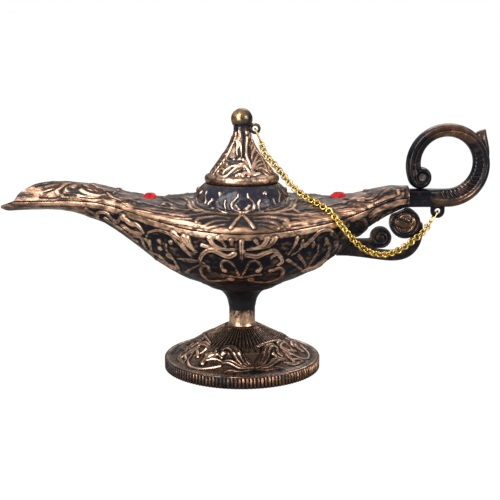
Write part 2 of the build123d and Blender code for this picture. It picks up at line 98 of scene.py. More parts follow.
def trace(tree, view, strokes, swell=1.15, steps=5, leafy=False):
    """Ornament on a surface: each stroke's line in metres, with its half width along it.

    view is an enlarged part of the photograph: its left and top pixel, and its scale.
    A stroke is its width in photo pixels at its start and its end, and its line in the view.
    A leafy stroke is widest in its middle, and its second width is that of both ends."""
    left, top, scale = view
    traced = []
    for wide, narrow, *spots in strokes:
        pixels = [(left + u / scale, top + v / scale) for u, v in spots]
        pixel_line = smooth_line(pixels, steps) if len(pixels) > 1 else np.array(pixels)
        line = []
        half_widths = []
        for share, pixel in zip(np.linspace(0, 1, len(pixel_line)), pixel_line):
            place, distance = on_surface(tree, pixel)
            if place is not None:
                line.append(place)
                bulge = 1 - math.sin(math.pi * share) if leafy else share
                width = (wide + (narrow - wide) * bulge) * distance / focal_pixels
                half_widths.append(swell * width / 2)
        if line:
            traced.append((np.array(line), np.array(half_widths)))
    return traced


def run_along(line):
    """Length of a line up to each of its points."""
    return np.concatenate([[0], np.cumsum(np.linalg.norm(np.diff(line, axis=0), axis=1))])


def spaced(line, count, margin=0.0):
    """Points at even steps along a line, from margin inside one end to margin inside the other."""
    run = run_along(line)
    places = np.linspace(margin, run[-1] - margin, count)
    return np.stack([np.interp(places, run, line[:, axis]) for axis in range(line.shape[1])], axis=1)


def soft_mark(value, middle, width):
    """1 where the value is at the middle, and softly down to 0 some two widths away."""
    return np.exp(-((value - middle) / width) ** 2)


# No ridge is higher than relief_limit. The other values are shares of a ridge's half width.
relief_limit = 1.1 * MM
ridge_roundness = 0.85
vein_width = 0.28
dish_width = 0.5
least_crest = 0.01


def trace_all(tree, groups, swell=1.15):
    """Ornament on a surface from several views, each with its strokes."""
    return [stroke for view, strokes in groups for stroke in trace(tree, view, strokes, swell)]


def relief_over(points, traced, vein=0.0, dish=0.0):
    """Ornament at each point as round ridges along the strokes: height in metres, and crest,
    which is 1 on top of a ridge and 0 beside it. vein is a groove along the middle, and dish
    hollows the middle between two raised rims."""
    height = np.zeros(len(points))
    crest = np.zeros(len(points))
    for line, half_widths in traced:
        reach = half_widths.max()
        low = line.min(0) - reach
        high = line.max(0) + reach
        near = np.nonzero(np.all((points > low) & (points < high), axis=1))[0]
        if not len(near):
            continue
        across = np.full(len(near), np.inf)
        half_there = np.ones(len(near))
        ends = line[1:] if len(line) > 1 else line
        end_widths = half_widths[1:] if len(line) > 1 else half_widths
        for a, b, wa, wb in zip(line, ends, half_widths, end_widths):
            along = b - a
            length = max(float(along @ along), 1e-14)
            share = np.clip((points[near] - a) @ along / length, 0, 1)
            half = wa + (wb - wa) * share
            off = np.linalg.norm(points[near] - a - share[:, None] * along, axis=1) / half
            half_there = np.where(off < across, half, half_there)
            across = np.minimum(across, off)
        ridge = (1 - np.minimum(across, 1) ** 2) ** ridge_roundness
        ridge = ridge - vein * soft_mark(across, 0, vein_width)
        ridge = ridge - dish * soft_mark(across, 0, dish_width)
        best_crest = np.maximum(ridge, least_crest) * (across < 1)
        best = relief_limit * (1 - np.exp(-half_there / relief_limit)) * best_crest
        higher = best > height[near]
        height[near] = np.where(higher, best, height[near])
        crest[near] = np.where(higher, best_crest, crest[near])
    return height, crest


def new_object(name, mesh):
    piece = bpy.data.objects.new(name, mesh)
    bpy.context.scene.collection.objects.link(piece)
    return piece


def keep_relief(mesh, values):
    """Keeps how worn each point is where the metals read it."""
    kept = mesh.attributes.new("relief", "FLOAT", "POINT")
    kept.data.foreach_set("value", np.array(values, dtype=np.float32))


def mesh_of(name, points, faces, material=None, values=None):
    """Smooth mesh from points and faces, with how worn each point is."""
    mesh = bpy.data.meshes.new(name)
    mesh.from_pydata([tuple(p) for p in points], [], [tuple(f) for f in faces])
    mesh.shade_smooth()
    if values is not None:
        keep_relief(mesh, values)
    if material:
        mesh.materials.append(material)
    return mesh


def face_out(mesh, merge=0.0):
    """Turns the faces of a closed mesh outward, with points nearer than merge made one."""
    build = bmesh.new()
    build.from_mesh(mesh)
    if merge:
        bmesh.ops.remove_doubles(build, verts=build.verts, dist=merge)
        bmesh.ops.dissolve_degenerate(build, edges=build.edges, dist=merge)
    bmesh.ops.recalc_face_normals(build, faces=build.faces)
    build.to_mesh(mesh)
    build.free()
    return mesh


def evaluated(piece):
    """New mesh of an object with its modifiers worked out."""
    depsgraph = bpy.context.evaluated_depsgraph_get()
    return bpy.data.meshes.new_from_object(piece.evaluated_get(depsgraph), depsgraph=depsgraph)


def grid_faces(rows, columns, closed=False):
    """Quads between rows of points, and round each row where it is closed."""
    faces = []
    last = columns if closed else columns - 1
    for row in range(rows - 1):
        for column in range(last):
            beside = (column + 1) % columns
            a = row * columns + column
            b = row * columns + beside
            faces.append((a, b, b + columns, a + columns))
    return faces


def set_inputs(tree, node, inputs):
    """Sets a node's inputs to plain values, or joins them to other nodes' sockets."""
    for label, value in inputs.items():
        if isinstance(value, bpy.types.NodeSocket):
            tree.links.new(value, node.inputs[label])
        else:
            node.inputs[label].default_value = value


def add_node(tree, kind, inputs=None):
    node = tree.nodes.new(kind)
    set_inputs(tree, node, inputs or {})
    return node


def add_sum(tree, operation, *values):
    """Result of a sum on numbers or sockets."""
    node = add_node(tree, "ShaderNodeMath", dict(enumerate(values)))
    node.operation = operation
    return node.outputs[0]


# How far the metal is worn where its colour starts to change, and the shares of the bright
# colour in between; where it turns from lacquer to bare metal; and the grain of its skin
wear_start = 0.12
wear_stops = ((0.34, 0.10), (0.58, 0.34), (0.82, 0.78))
bare_start = 0.15
bare_end = 0.5
grain_size = 1100.0
grain_strength = 0.35
grain_depth = 0.18 * MM


def metal(name, hollow_colour, ridge_colour, hollow_rough=0.26, ridge_rough=0.30,
          break_size=620.0, break_depth=1.6, patch_size=150.0, patch_depth=0.9, lift=0.0,
          sheen_level=0.2, streak=1.0):
    """Old cast metal: black lacquer in the hollows, brown on the flanks, rubbed on the ridges.

    lift is how worn the metal is where there is no ornament. A streak below 1 draws the rubbed
    marks out along the lamp."""
    material = bpy.data.materials.new(name)
    material.use_nodes = True
    tree = material.node_tree
    place = add_node(tree, "ShaderNodeTexCoord").outputs["Object"]
    drawn = add_node(tree, "ShaderNodeMapping", {"Vector": place, "Scale": (streak, 1, 1)})
    height = add_node(tree, "ShaderNodeAttribute")
    height.attribute_name = "relief"
    worn = height.outputs["Fac"]
    for size, depth, offset in ((break_size, break_depth, lift), (patch_size, patch_depth, 0.0)):
        cloud = add_node(tree, "ShaderNodeTexNoise", {
            "Vector": drawn.outputs["Vector"], "Scale": size, "Detail": 5.0, "Roughness": 0.6})
        spread = add_sum(tree, "MULTIPLY_ADD", cloud.outputs["Fac"], depth, offset - depth / 2)
        worn = add_sum(tree, "ADD", worn, spread)
    share = add_node(tree, "ShaderNodeClamp", {"Value": worn}).outputs["Result"]
    colours = add_node(tree, "ShaderNodeValToRGB", {"Fac": share})
    ramp = colours.color_ramp
    ramp.elements[0].position = wear_start
    ramp.elements[0].color = (*hollow_colour, 1)
    ramp.elements[1].color = (*ridge_colour, 1)
    for stop, mix in wear_stops:
        between = ramp.elements.new(stop)
        between.color = (*[a + (b - a) * mix for a, b in zip(hollow_colour, ridge_colour)], 1)
    bare = add_node(tree, "ShaderNodeMapRange", {
        "Value": share, "From Min": bare_start, "From Max": bare_end})
    rough = add_node(tree, "ShaderNodeMapRange", {
        "Value": share, "To Min": hollow_rough, "To Max": ridge_rough})
    grain = add_node(tree, "ShaderNodeTexNoise", {
        "Vector": place, "Scale": grain_size, "Detail": 4.0})
    bump = add_node(tree, "ShaderNodeBump", {
        "Height": grain.outputs["Fac"], "Strength": grain_strength, "Distance": grain_depth})
    set_inputs(tree, tree.nodes["Principled BSDF"], {
        "Base Color": colours.outputs["Color"], "Metallic": bare.outputs["Result"],
        "Roughness": rough.outputs["Result"], "Normal": bump.outputs["Normal"],
        "Specular IOR Level": sheen_level})
    return material


# Where along a ridge's flank the rubbing starts and how far it takes, the least rubbing of a
# low ridge, and the heights at which a ridge is fully rubbed and its shadow fully black
rub_start = 0.16
rub_span = 0.62
low_ridge_rub = 0.58
full_ridge = 0.6 * MM
full_shadow = 0.25 * MM


def ridge_wear_and_shade(ornament, crest, outline):
    """How rubbed each point is, bright on top of the ridges, with a painted shade line in black
    beside them.
    """
    by_height = low_ridge_rub + (1 - low_ridge_rub) * np.clip(ornament / full_ridge, 0, 1)
    top = np.clip((crest - rub_start) / rub_span, 0, 1) * by_height
    beside = np.clip(outline / full_shadow, 0, 1) * (ornament <= 0)
    return top, beside


# Foot
# A thin casting, domed from the hub to a straight edge that stands on the table. It has fine
# flutes round the hub and a lotus flower three times round the dome. Dark copper, rubbed.
_, foot_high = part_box("foot")
foot_radius = foot_high.x
foot_height = foot_high.z
foot_wall = 1.9 * MM
foot_edge_height = 4.8 * MM
foot_hub_radius = 6.3 * MM
foot_bore_radius = 3.2 * MM
foot_skin_inset = 0.12 * MM
foot_dome_shares = ((0.193, 0.972), (0.306, 0.868), (0.428, 0.748), (0.550, 0.645),
                    (0.673, 0.500), (0.795, 0.370), (0.902, 0.278), (0.99, 0.262))
foot_sides = 540
dome_rows = 92
flute_count = 62
flute_end_share = 0.56
flute_depth = 0.85 * MM
flute_roundness = 0.8
flute_middle = 0.6
flute_fade = 2.5 * MM
hub_fade = 1.0 * MM
bead_share = 0.60
bead_width = 0.5 * MM
bead_height = 0.15 * MM
lip_share = 0.965
lip_width = 0.7 * MM
lip_height = 0.3 * MM
dark_pool_share = 0.80
dark_pool_width = 0.12
dark_pool_spread = 0.08
reed_count = 134
reed_depth = 0.45 * MM
foot_repeats = 3
foot_middle_turn = math.radians(12)
foot_view = (155.0, 300.0, 8.96)
foot_petals = (
    (7.6, 1.6, (885, 605), (810, 583), (765, 535), (735, 478), (695, 430), (645, 418), (600, 442)),
    (6.0, 1.4, (880, 605), (765, 598), (700, 562), (640, 548), (585, 577)),
    (3.2, 1.2, (880, 620), (760, 634), (670, 622), (600, 652)),
    (3.4, 1.0, (887, 600), (842, 555), (795, 485)),
    (3.0, 1.0, (897, 590), (922, 540), (947, 480)),
    (7.6, 1.6, (905, 600), (962, 560), (992, 500), (1002, 440), (1045, 404), (1095, 420)),
    (6.0, 1.4, (905, 606), (1000, 592), (1060, 552), (1110, 530), (1155, 540)),
    (3.0, 1.0, (905, 620), (1000, 622), (1100, 604), (1175, 622)),
    (6.5, 2.0, (395, 400), (440, 388), (500, 425)),
    (4.5, 1.5, (1140, 455), (1195, 490), (1225, 545)),
    (4.0, 1.5, (1150, 560), (1240, 575), (1330, 548)),
)
foot_strokes = (
    (3.0, 2.2, (400, 402), (365, 440), (325, 500), (295, 550), (310, 592), (380, 612),
     (450, 612), (530, 600), (590, 588)),
    (4.0, 2.0, (385, 505), (378, 450), (398, 420)),
    (5.0, 2.5, (425, 565), (475, 505), (555, 480), (600, 515)),
    (5.0, 5.0, (610, 478)),
    (4.0, 2.0, (460, 488), (500, 480), (540, 500)),
    (3.0, 1.5, (500, 520), (560, 530), (620, 560)),
    (3.5, 2.0, (1090, 430), (1105, 475), (1140, 500)),
    (3.5, 1.5, (1060, 480), (1100, 510), (1160, 530)),
    (3.0, 1.5, (1230, 535), (1290, 530), (1330, 552)),
    (4.0, 2.0, (240, 512), (285, 480), (320, 450)),
    (3.0, 1.5, (430, 310), (470, 350), (500, 390)),
    (3.5, 1.5, (1180, 350), (1260, 400), (1310, 460)),
    (2.5, 1.5, (1150, 370), (1210, 420), (1250, 480)),
)


def places_round(angles, radius, height):
    """Places round Z at each angle, or directions out and up from it."""
    return np.stack([radius * np.cos(angles), radius * np.sin(angles),
                     np.broadcast_to(height, angles.shape)], axis=1)


def around(points):
    """Radius and angle of points round Z."""
    return np.hypot(points[:, 0], points[:, 1]), np.arctan2(points[:, 1], points[:, 0])


def ring_points(profile, sides):
    """Points of a turned shape, one row of sides points for each radius and height."""
    angles = np.arange(sides) * 2 * math.pi / sides
    return np.vstack([places_round(angles, r, z) for r, z in profile])


def turned(name, profile, sides, material, raised=None):
    """Closed turned mesh round Z from a profile that starts and ends on itself.

    raised moves the points outward and says how worn each is."""
    points = ring_points(profile, sides)
    values = np.zeros(len(points))
    rows = len(profile)
    faces = grid_faces(rows, sides, closed=True)
    if raised is not None:
        points, values = raised(points, faces)
    for column in range(sides):
        beside = (column + 1) % sides
        last = (rows - 1) * sides
        faces.append((last + column, last + beside, beside, column))
    return face_out(mesh_of(name, points, faces, material, values))


def round_normals(profile, sides):
    """Outward directions of a turned shape's points, from its profile's slope."""
    profile = np.array(profile)
    slope = np.gradient(profile, axis=0)
    out = np.stack([-slope[:, 1], slope[:, 0]], axis=1)
    out /= np.linalg.norm(out, axis=1)[:, None]
    return ring_points(out, sides)


def widened(traced, swell=1.8):
    """The same strokes, wider, for the painted shade line beside them."""
    return [(line, half_widths * swell) for line, half_widths in traced]


def folded_round(points, repeats, middle_turn):
    """Points turned about Z into the one sector, in front, where the ornament was traced."""
    radius, angle = around(points)
    step = 2 * math.pi / repeats
    front = middle_turn - math.pi / 2
    turn = (angle - front + step / 2) % step - step / 2 + front
    return places_round(turn, radius, points[:, 2])


def repeated_relief(points, traced, repeats, middle_turn, **shape):
    """Ornament repeated round Z, whole where it reaches past its own sector."""
    sector = folded_round(points, repeats, middle_turn)
    height = np.zeros(len(points))
    crest = np.zeros(len(points))
    for shift in (0, -1, 1):
        turn = shift * 2 * math.pi / repeats
        across = np.stack([sector[:, 0] * math.cos(turn) - sector[:, 1] * math.sin(turn),
                           sector[:, 0] * math.sin(turn) + sector[:, 1] * math.cos(turn),
                           sector[:, 2]], axis=1)
        more_height, more_crest = relief_over(across, traced, **shape)
        crest = np.where(more_height > height, more_crest, crest)
        height = np.maximum(height, more_height)
    return height, crest


wave_count = 10
wave_calm = 1.5


def waves(points, size, seed):
    """Soft unevenness of a hand-finished casting, between -1 and 1."""
    random = np.random.default_rng(seed)
    total = np.zeros(len(points))
    for _ in range(wave_count):
        way = random.normal(size=3)
        way /= np.linalg.norm(way)
        length = size * random.uniform(0.6, 1.6)
        total += np.sin(points @ way * 2 * math.pi / length + random.uniform(0, 2 * math.pi))
    return total / wave_count ** 0.5 / wave_calm


dome = smooth_line([(r * foot_radius, z * foot_height) for r, z in foot_dome_shares], 40)
dome = spaced(dome, dome_rows)
edge_rows = ((1.0, 0.93), (1.0, 0.5), (1.0, 0.07), (0.985, 0.0))
outside = list(dome) + [(share * foot_radius, up * foot_edge_height) for share, up in edge_rows]
inside = [(foot_radius - foot_wall, 0.0), (foot_radius - foot_wall, foot_edge_height * 0.6)]
inside += [(r * foot_radius - 0.3 * foot_wall, z * foot_height - foot_wall)
           for r, z in reversed(foot_dome_shares[1:-1])]
inside += [(foot_bore_radius, foot_height - 2 * foot_wall),
           (foot_bore_radius, foot_height - 0.2 * MM)]
foot_profile = outside + inside


def raise_foot(points, faces):
    """Flutes round the hub and the lotus flowers, and the edge drawn in behind its reeds."""
    radius, angle = around(points)
    outer = np.arange(len(points)) < len(outside) * foot_sides
    on_dome = outer & (np.arange(len(points)) < dome_rows * foot_sides)
    out = round_normals(foot_profile, foot_sides)
    out[:] = np.where(out[:, 2:3] < -0.2, -out, out)
    fluted = np.clip((flute_end_share * foot_radius - radius) / flute_fade, 0, 1)
    fluted *= np.clip((radius - foot_hub_radius) / hub_fade, 0, 1)
    flute = np.abs(np.cos(angle * flute_count / 2)) ** flute_roundness
    plain = BVHTree.FromPolygons(points, faces)
    scrolls = trace(plain, foot_view, foot_strokes)
    petals = trace(plain, foot_view, foot_petals, leafy=True)
    height, crest = repeated_relief(points, scrolls, foot_repeats, foot_middle_turn, vein=0.25)
    petal, petal_crest = repeated_relief(points, petals, foot_repeats, foot_middle_turn, dish=0.75)
    crest = np.where(petal > height, 1.4 * petal_crest, crest)
    leaf = np.maximum(height, petal)
    outline, _ = repeated_relief(points, widened(scrolls) + widened(petals, 1.6), foot_repeats,
                                 foot_middle_turn)
    top, beside = ridge_wear_and_shade(leaf, crest, outline)
    bare = (1 - np.clip(leaf / (0.1 * MM), 0, 1)) * fluted
    bead = soft_mark(radius, bead_share * foot_radius, bead_width)
    lip = soft_mark(radius, lip_share * foot_radius, lip_width)
    height = flute_depth * (flute - flute_middle) * bare + leaf
    height = np.where(on_dome, height + bead_height * bead + lip_height * lip, 0)

    # The flutes' crests and the leaves are rubbed; black stays in the petals' bowls and on the
    # dome behind each flower
    value = 0.38 + (0.70 * flute ** 3 - 1.3 * (1 - flute)) * bare - 0.20 * fluted + 1.0 * top
    value = value - 0.55 * np.clip(petal / (0.2 * MM), 0, 1) * np.clip(1 - 1.6 * petal_crest, 0, 1)
    sector = 2 * math.pi / foot_repeats
    off_middle = (angle + 1.5 * math.pi - foot_middle_turn) % sector - sector / 2
    pool = soft_mark(radius / foot_radius, dark_pool_share, dark_pool_width)
    pool = pool * np.exp(-off_middle ** 2 / dark_pool_spread)
    value = value - 0.45 * pool * (leaf <= 0)
    value = value + 0.16 * waves(points, 7 * MM, 4) * (1 - fluted)
    # Black beside the leaves and petals is painted shade
    value = np.where(on_dome, value - 0.5 * beside + 0.1 * bead + 0.35 * lip, 0)
    points = points + out * (height - foot_skin_inset * on_dome)[:, None]
    edge = outer & ~on_dome
    points[edge] *= (1 - reed_depth / foot_radius, 1 - reed_depth / foot_radius, 1)
    return points, value


foot_metal = metal("foot_metal", (0.004, 0.004, 0.004), (0.66, 0.40, 0.27), patch_depth=0.5,
                   break_depth=1.1, ridge_rough=0.24, sheen_level=0.12)
foot = new_object("foot_dressed", turned("foot_dressed", foot_profile, foot_sides, foot_metal,
                                         raise_foot))
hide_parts("foot")
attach(foot, "root")


def node_tree(name, inputs):
    """Empty geometry tree with a geometry socket each way and named number inputs."""
    tree = bpy.data.node_groups.new(name, "GeometryNodeTree")
    tree.interface.new_socket("Geometry", in_out="INPUT", socket_type="NodeSocketGeometry")
    tree.interface.new_socket("Geometry", in_out="OUTPUT", socket_type="NodeSocketGeometry")
    sockets = {}
    for label, kind in inputs:
        sockets[label] = tree.interface.new_socket(label, in_out="INPUT", socket_type=kind)
    return tree, sockets, tree.nodes.new("NodeGroupInput"), tree.nodes.new("NodeGroupOutput")


def finish_tree(tree, shape, material, output):
    """Real meshes and their material at the end of a tree."""
    real = add_node(tree, "GeometryNodeRealizeInstances", {"Geometry": shape})
    smooth = add_node(tree, "GeometryNodeSetShadeSmooth", {"Geometry": real.outputs["Geometry"]})
    painted = add_node(tree, "GeometryNodeSetMaterial", {
        "Geometry": smooth.outputs["Geometry"], "Material": material})
    set_inputs(tree, output, {"Geometry": painted.outputs["Geometry"]})


def grown(name, source, tree, sockets, values):
    """Plain mesh that a tree makes from a source mesh, with its inputs set."""
    holder = new_object(name + "_source", source)
    modifier = holder.modifiers.new("grow", "NODES")
    modifier.node_group = tree
    for label, value in values.items():
        modifier[sockets[label].identifier] = value
    mesh = evaluated(holder)
    holder.modifiers.remove(modifier)
    bpy.data.objects.remove(holder)
    mesh.name = name
    return mesh


# Reeds of the foot's edge
# A row of small upright half-round reeds, cast in one with the foot's straight edge.
reed_radius = 0.56 * MM
reed_inset = 0.55 * MM
reed_tree, reed_sockets, reed_in, reed_out = node_tree("reeds", (
    ("Count", "NodeSocketInt"), ("Radius", "NodeSocketFloat"), ("Reed radius", "NodeSocketFloat"),
    ("Height", "NodeSocketFloat")))
reed_ring = add_node(reed_tree, "GeometryNodeMeshCircle", {
    "Vertices": reed_in.outputs["Count"], "Radius": reed_in.outputs["Radius"]})
reed_post = add_node(reed_tree, "GeometryNodeMeshCylinder", {
    "Vertices": 10, "Side Segments": 1, "Radius": reed_in.outputs["Reed radius"],
    "Depth": reed_in.outputs["Height"]})
reed_copies = add_node(reed_tree, "GeometryNodeInstanceOnPoints", {
    "Points": reed_ring.outputs["Mesh"], "Instance": reed_post.outputs["Mesh"]})
reed_lift = add_node(reed_tree, "GeometryNodeTransform", {
    "Geometry": reed_copies.outputs["Instances"], "Translation": (0, 0, foot_edge_height / 2)})
reed_metal = metal("reed_metal", (0.006, 0.006, 0.008), (0.55, 0.30, 0.18), lift=0.42,
                   break_size=420.0, break_depth=1.6, patch_depth=1.8, patch_size=45.0)
finish_tree(reed_tree, reed_lift.outputs["Geometry"], reed_metal, reed_out)
reed_mesh = grown("foot_reeds", bpy.data.meshes.new("seed"), reed_tree, reed_sockets, {
    "Count": reed_count, "Radius": foot_radius - reed_inset, "Reed radius": reed_radius,
    "Height": foot_edge_height * 0.9})
reeds = new_object("foot_reeds", reed_mesh)
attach(reeds, "root")


# Stem band
# A turned copper band between the foot and the body, a little waisted, that laps over the end
# of the body's stem. It is worn bright, with black specks at the top.
band_low, band_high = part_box("stem_band")
band_bottom = band_low.z - 0.6 * MM
band_top = band_high.z + 1.1 * MM
band_bore_radius = 4.6 * MM
band_metal = metal("band_metal", (0.010, 0.008, 0.008), (0.68, 0.42, 0.27),
                   break_size=420.0, break_depth=1.4)
band_side = smooth_line([(5.85 * MM, band_bottom), (5.5 * MM, band_bottom + 1.2 * MM),
                         (5.42 * MM, (band_bottom + band_top) / 2), (5.46 * MM, band_top - 0.5 * MM),
                         (5.3 * MM, band_top)], 8)
band_profile = [(band_bore_radius, band_bottom), *band_side, (band_bore_radius, band_top)]


def rub_band(points, faces):
    """Bright below, speckled black towards the top."""
    up = np.clip((points[:, 2] - band_bottom) / (band_top - band_bottom), 0, 1)
    specks = np.clip(waves(points, 1.4 * MM, 31) - 0.1, 0, 1) * up ** 2
    return points, 0.86 - 0.5 * up ** 4 + 0.1 * waves(points, 3 * MM, 15) - 1.3 * specks


band = new_object("stem_band_turned", turned("stem_band_turned", band_profile, 96, band_metal,
                                             rub_band))
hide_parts("stem_band")
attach(band, "root")


# Lower shell of the body
# A boat-shaped copper casting with raised scrolls and leaves, one half of the body from the
# spout's chin to the tail, with a plain flat band along the seam that joins it to the upper one.
lower_low, lower_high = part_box("lower_body")
_, upper_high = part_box("upper_body")
tail_reach = lower_high.x
body_half_width = lower_high.y
keel_level = lower_low.z
neck_top = upper_high.z
neck_rise = 4.9 * MM
hull_rise = neck_top - neck_rise - keel_level
seam_gap = 0.15 * MM
shell_wall = 1.5 * MM
least_rise = 0.2 * MM
# Reach, half width, keel, seam and crown, as shares of the reach, the half width and the rise
station_shares = (
    (-0.998, 0.031, 0.866, 0.890, 0.920),
    (-0.980, 0.092, 0.852, 0.912, 1.045),
    (-0.958, 0.138, 0.848, 0.930, 1.088),
    (-0.925, 0.178, 0.850, 0.937, 1.096),
    (-0.873, 0.200, 0.856, 0.940, 1.096),
    (-0.776, 0.214, 0.858, 0.944, 1.094),
    (-0.706, 0.214, 0.838, 0.946, 1.090),
    (-0.609, 0.245, 0.776, 0.938, 1.072),
    (-0.543, 0.305, 0.713, 0.920, 1.045),
    (-0.478, 0.398, 0.623, 0.893, 1.004),
    (-0.412, 0.520, 0.524, 0.864, 0.971),
    (-0.347, 0.650, 0.426, 0.836, 0.957),
    (-0.280, 0.770, 0.344, 0.811, 0.964),
    (-0.202, 0.885, 0.275, 0.786, 0.976),
    (-0.101, 0.972, 0.224, 0.768, 0.955),
    (0.0, 1.0, 0.206, 0.762, 0.945),
    (0.147, 0.972, 0.224, 0.768, 0.955),
    (0.294, 0.887, 0.278, 0.784, 0.978),
    (0.441, 0.740, 0.366, 0.803, 0.970),
    (0.559, 0.575, 0.475, 0.824, 0.965),
    (0.647, 0.442, 0.573, 0.848, 0.982),
    (0.759, 0.310, 0.700, 0.894, 1.020),
    (0.874, 0.232, 0.800, 0.945, 1.054),
    (1.000, 0.195, 0.880, 0.972, 1.059),
)
spout_reach = lower_low.x / station_shares[0][0]
stations = np.array([
    (reach * (tail_reach if reach > 0 else spout_reach), width * body_half_width,
     keel_level + keel * hull_rise, keel_level + seam * hull_rise, keel_level + crown * hull_rise)
    for reach, width, keel, seam, crown in station_shares])
hull_line = smooth_line(stations, 24)


def hull_at(reach):
    """Half width, keel, seam and crown of the hull at each reach along the lamp."""
    return [np.interp(reach, hull_line[:, 0], hull_line[:, column]) for column in (1, 2, 3, 4)]


def hull_skin(points, side):
    """Height of the hull's plain face at each point, above (side 1) or below (side -1) the seam."""
    half_width, keel, seam, crown = hull_at(points[:, 0])
    arch = np.sqrt(np.clip(1 - (points[:, 1] / half_width) ** 2, 0, 1))
    return seam + (crown - seam) * arch if side > 0 else seam - (seam - keel) * arch


def soft_meeting(first, second, blend):
    """How far two faces' meeting is filled, so that they run softly into each other."""
    return blend * 0.5 * np.exp(-np.abs(first - second) / blend)


def half_hull(name, side, reaches, turns, inset=0.0, dress=None, material=None):
    """Closed half of the hull above (side 1) or below (side -1) the seam."""
    half_width, keel, seam, crown = hull_at(reaches)
    rise = (crown - seam) if side > 0 else (seam - keel)
    angles = np.linspace(0, math.pi, turns)
    across = np.cos(angles)[None, :] * (half_width - inset)[:, None]
    arch = np.sin(angles)[None, :] * np.maximum(rise - inset, least_rise)[:, None]
    up = seam[:, None] + side * (seam_gap / 2 * (side > 0) + arch)
    along = np.repeat(reaches[:, None], turns, axis=1)
    surface = np.stack([along, across, up], axis=2)
    values = np.zeros((len(reaches), turns))
    if dress:
        by_reach = np.gradient(surface, axis=0)
        by_turn = np.gradient(surface, axis=1)
        out = np.cross(by_turn, by_reach)
        out /= np.maximum(np.linalg.norm(out, axis=2), 1e-12)[:, :, None]
        out *= np.sign((out[:, :, 2] * side).mean()) or 1
        flat = surface.reshape(-1, 3)
        tree = BVHTree.FromPolygons(flat, grid_faces(len(reaches), turns))
        height, values = dress(flat, tree)
        surface = surface + out * height.reshape(len(reaches), turns)[:, :, None]
        values = values.reshape(len(reaches), turns)
    points = surface.reshape(-1, 3)
    rows = len(reaches)
    faces = grid_faces(rows, turns)
    for row in range(rows - 1):
        a = row * turns
        faces.append((a, a + turns, a + 2 * turns - 1, a + turns - 1))
    faces.append(tuple(range(turns)))
    faces.append(tuple(range((rows - 1) * turns, rows * turns)))
    return face_out(mesh_of(name, points, faces, material, values.reshape(-1)))


def cut_by(piece, *cutters):
    """Takes closed cutters out of a closed piece, for good."""
    for cutter in cutters:
        modifier = piece.modifiers.new("cut", "BOOLEAN")
        modifier.operation = "DIFFERENCE"
        modifier.solver = "MANIFOLD"
        modifier.object = cutter
    mesh = evaluated(piece)
    piece.modifiers.clear()
    piece.data = mesh
    for cutter in cutters:
        bpy.data.objects.remove(cutter)


def prism(name, outline, half_depth):
    """Closed plate across the lamp, from an outline of reaches and heights."""
    count = len(outline)
    points = [(x, -half_depth, z) for x, z in outline] + [(x, half_depth, z) for x, z in outline]
    faces = [tuple(range(count)), tuple(range(count, 2 * count))]
    faces += [(i, (i + 1) % count, count + (i + 1) % count, count + i) for i in range(count)]
    return new_object(name, face_out(mesh_of(name, points, faces)))


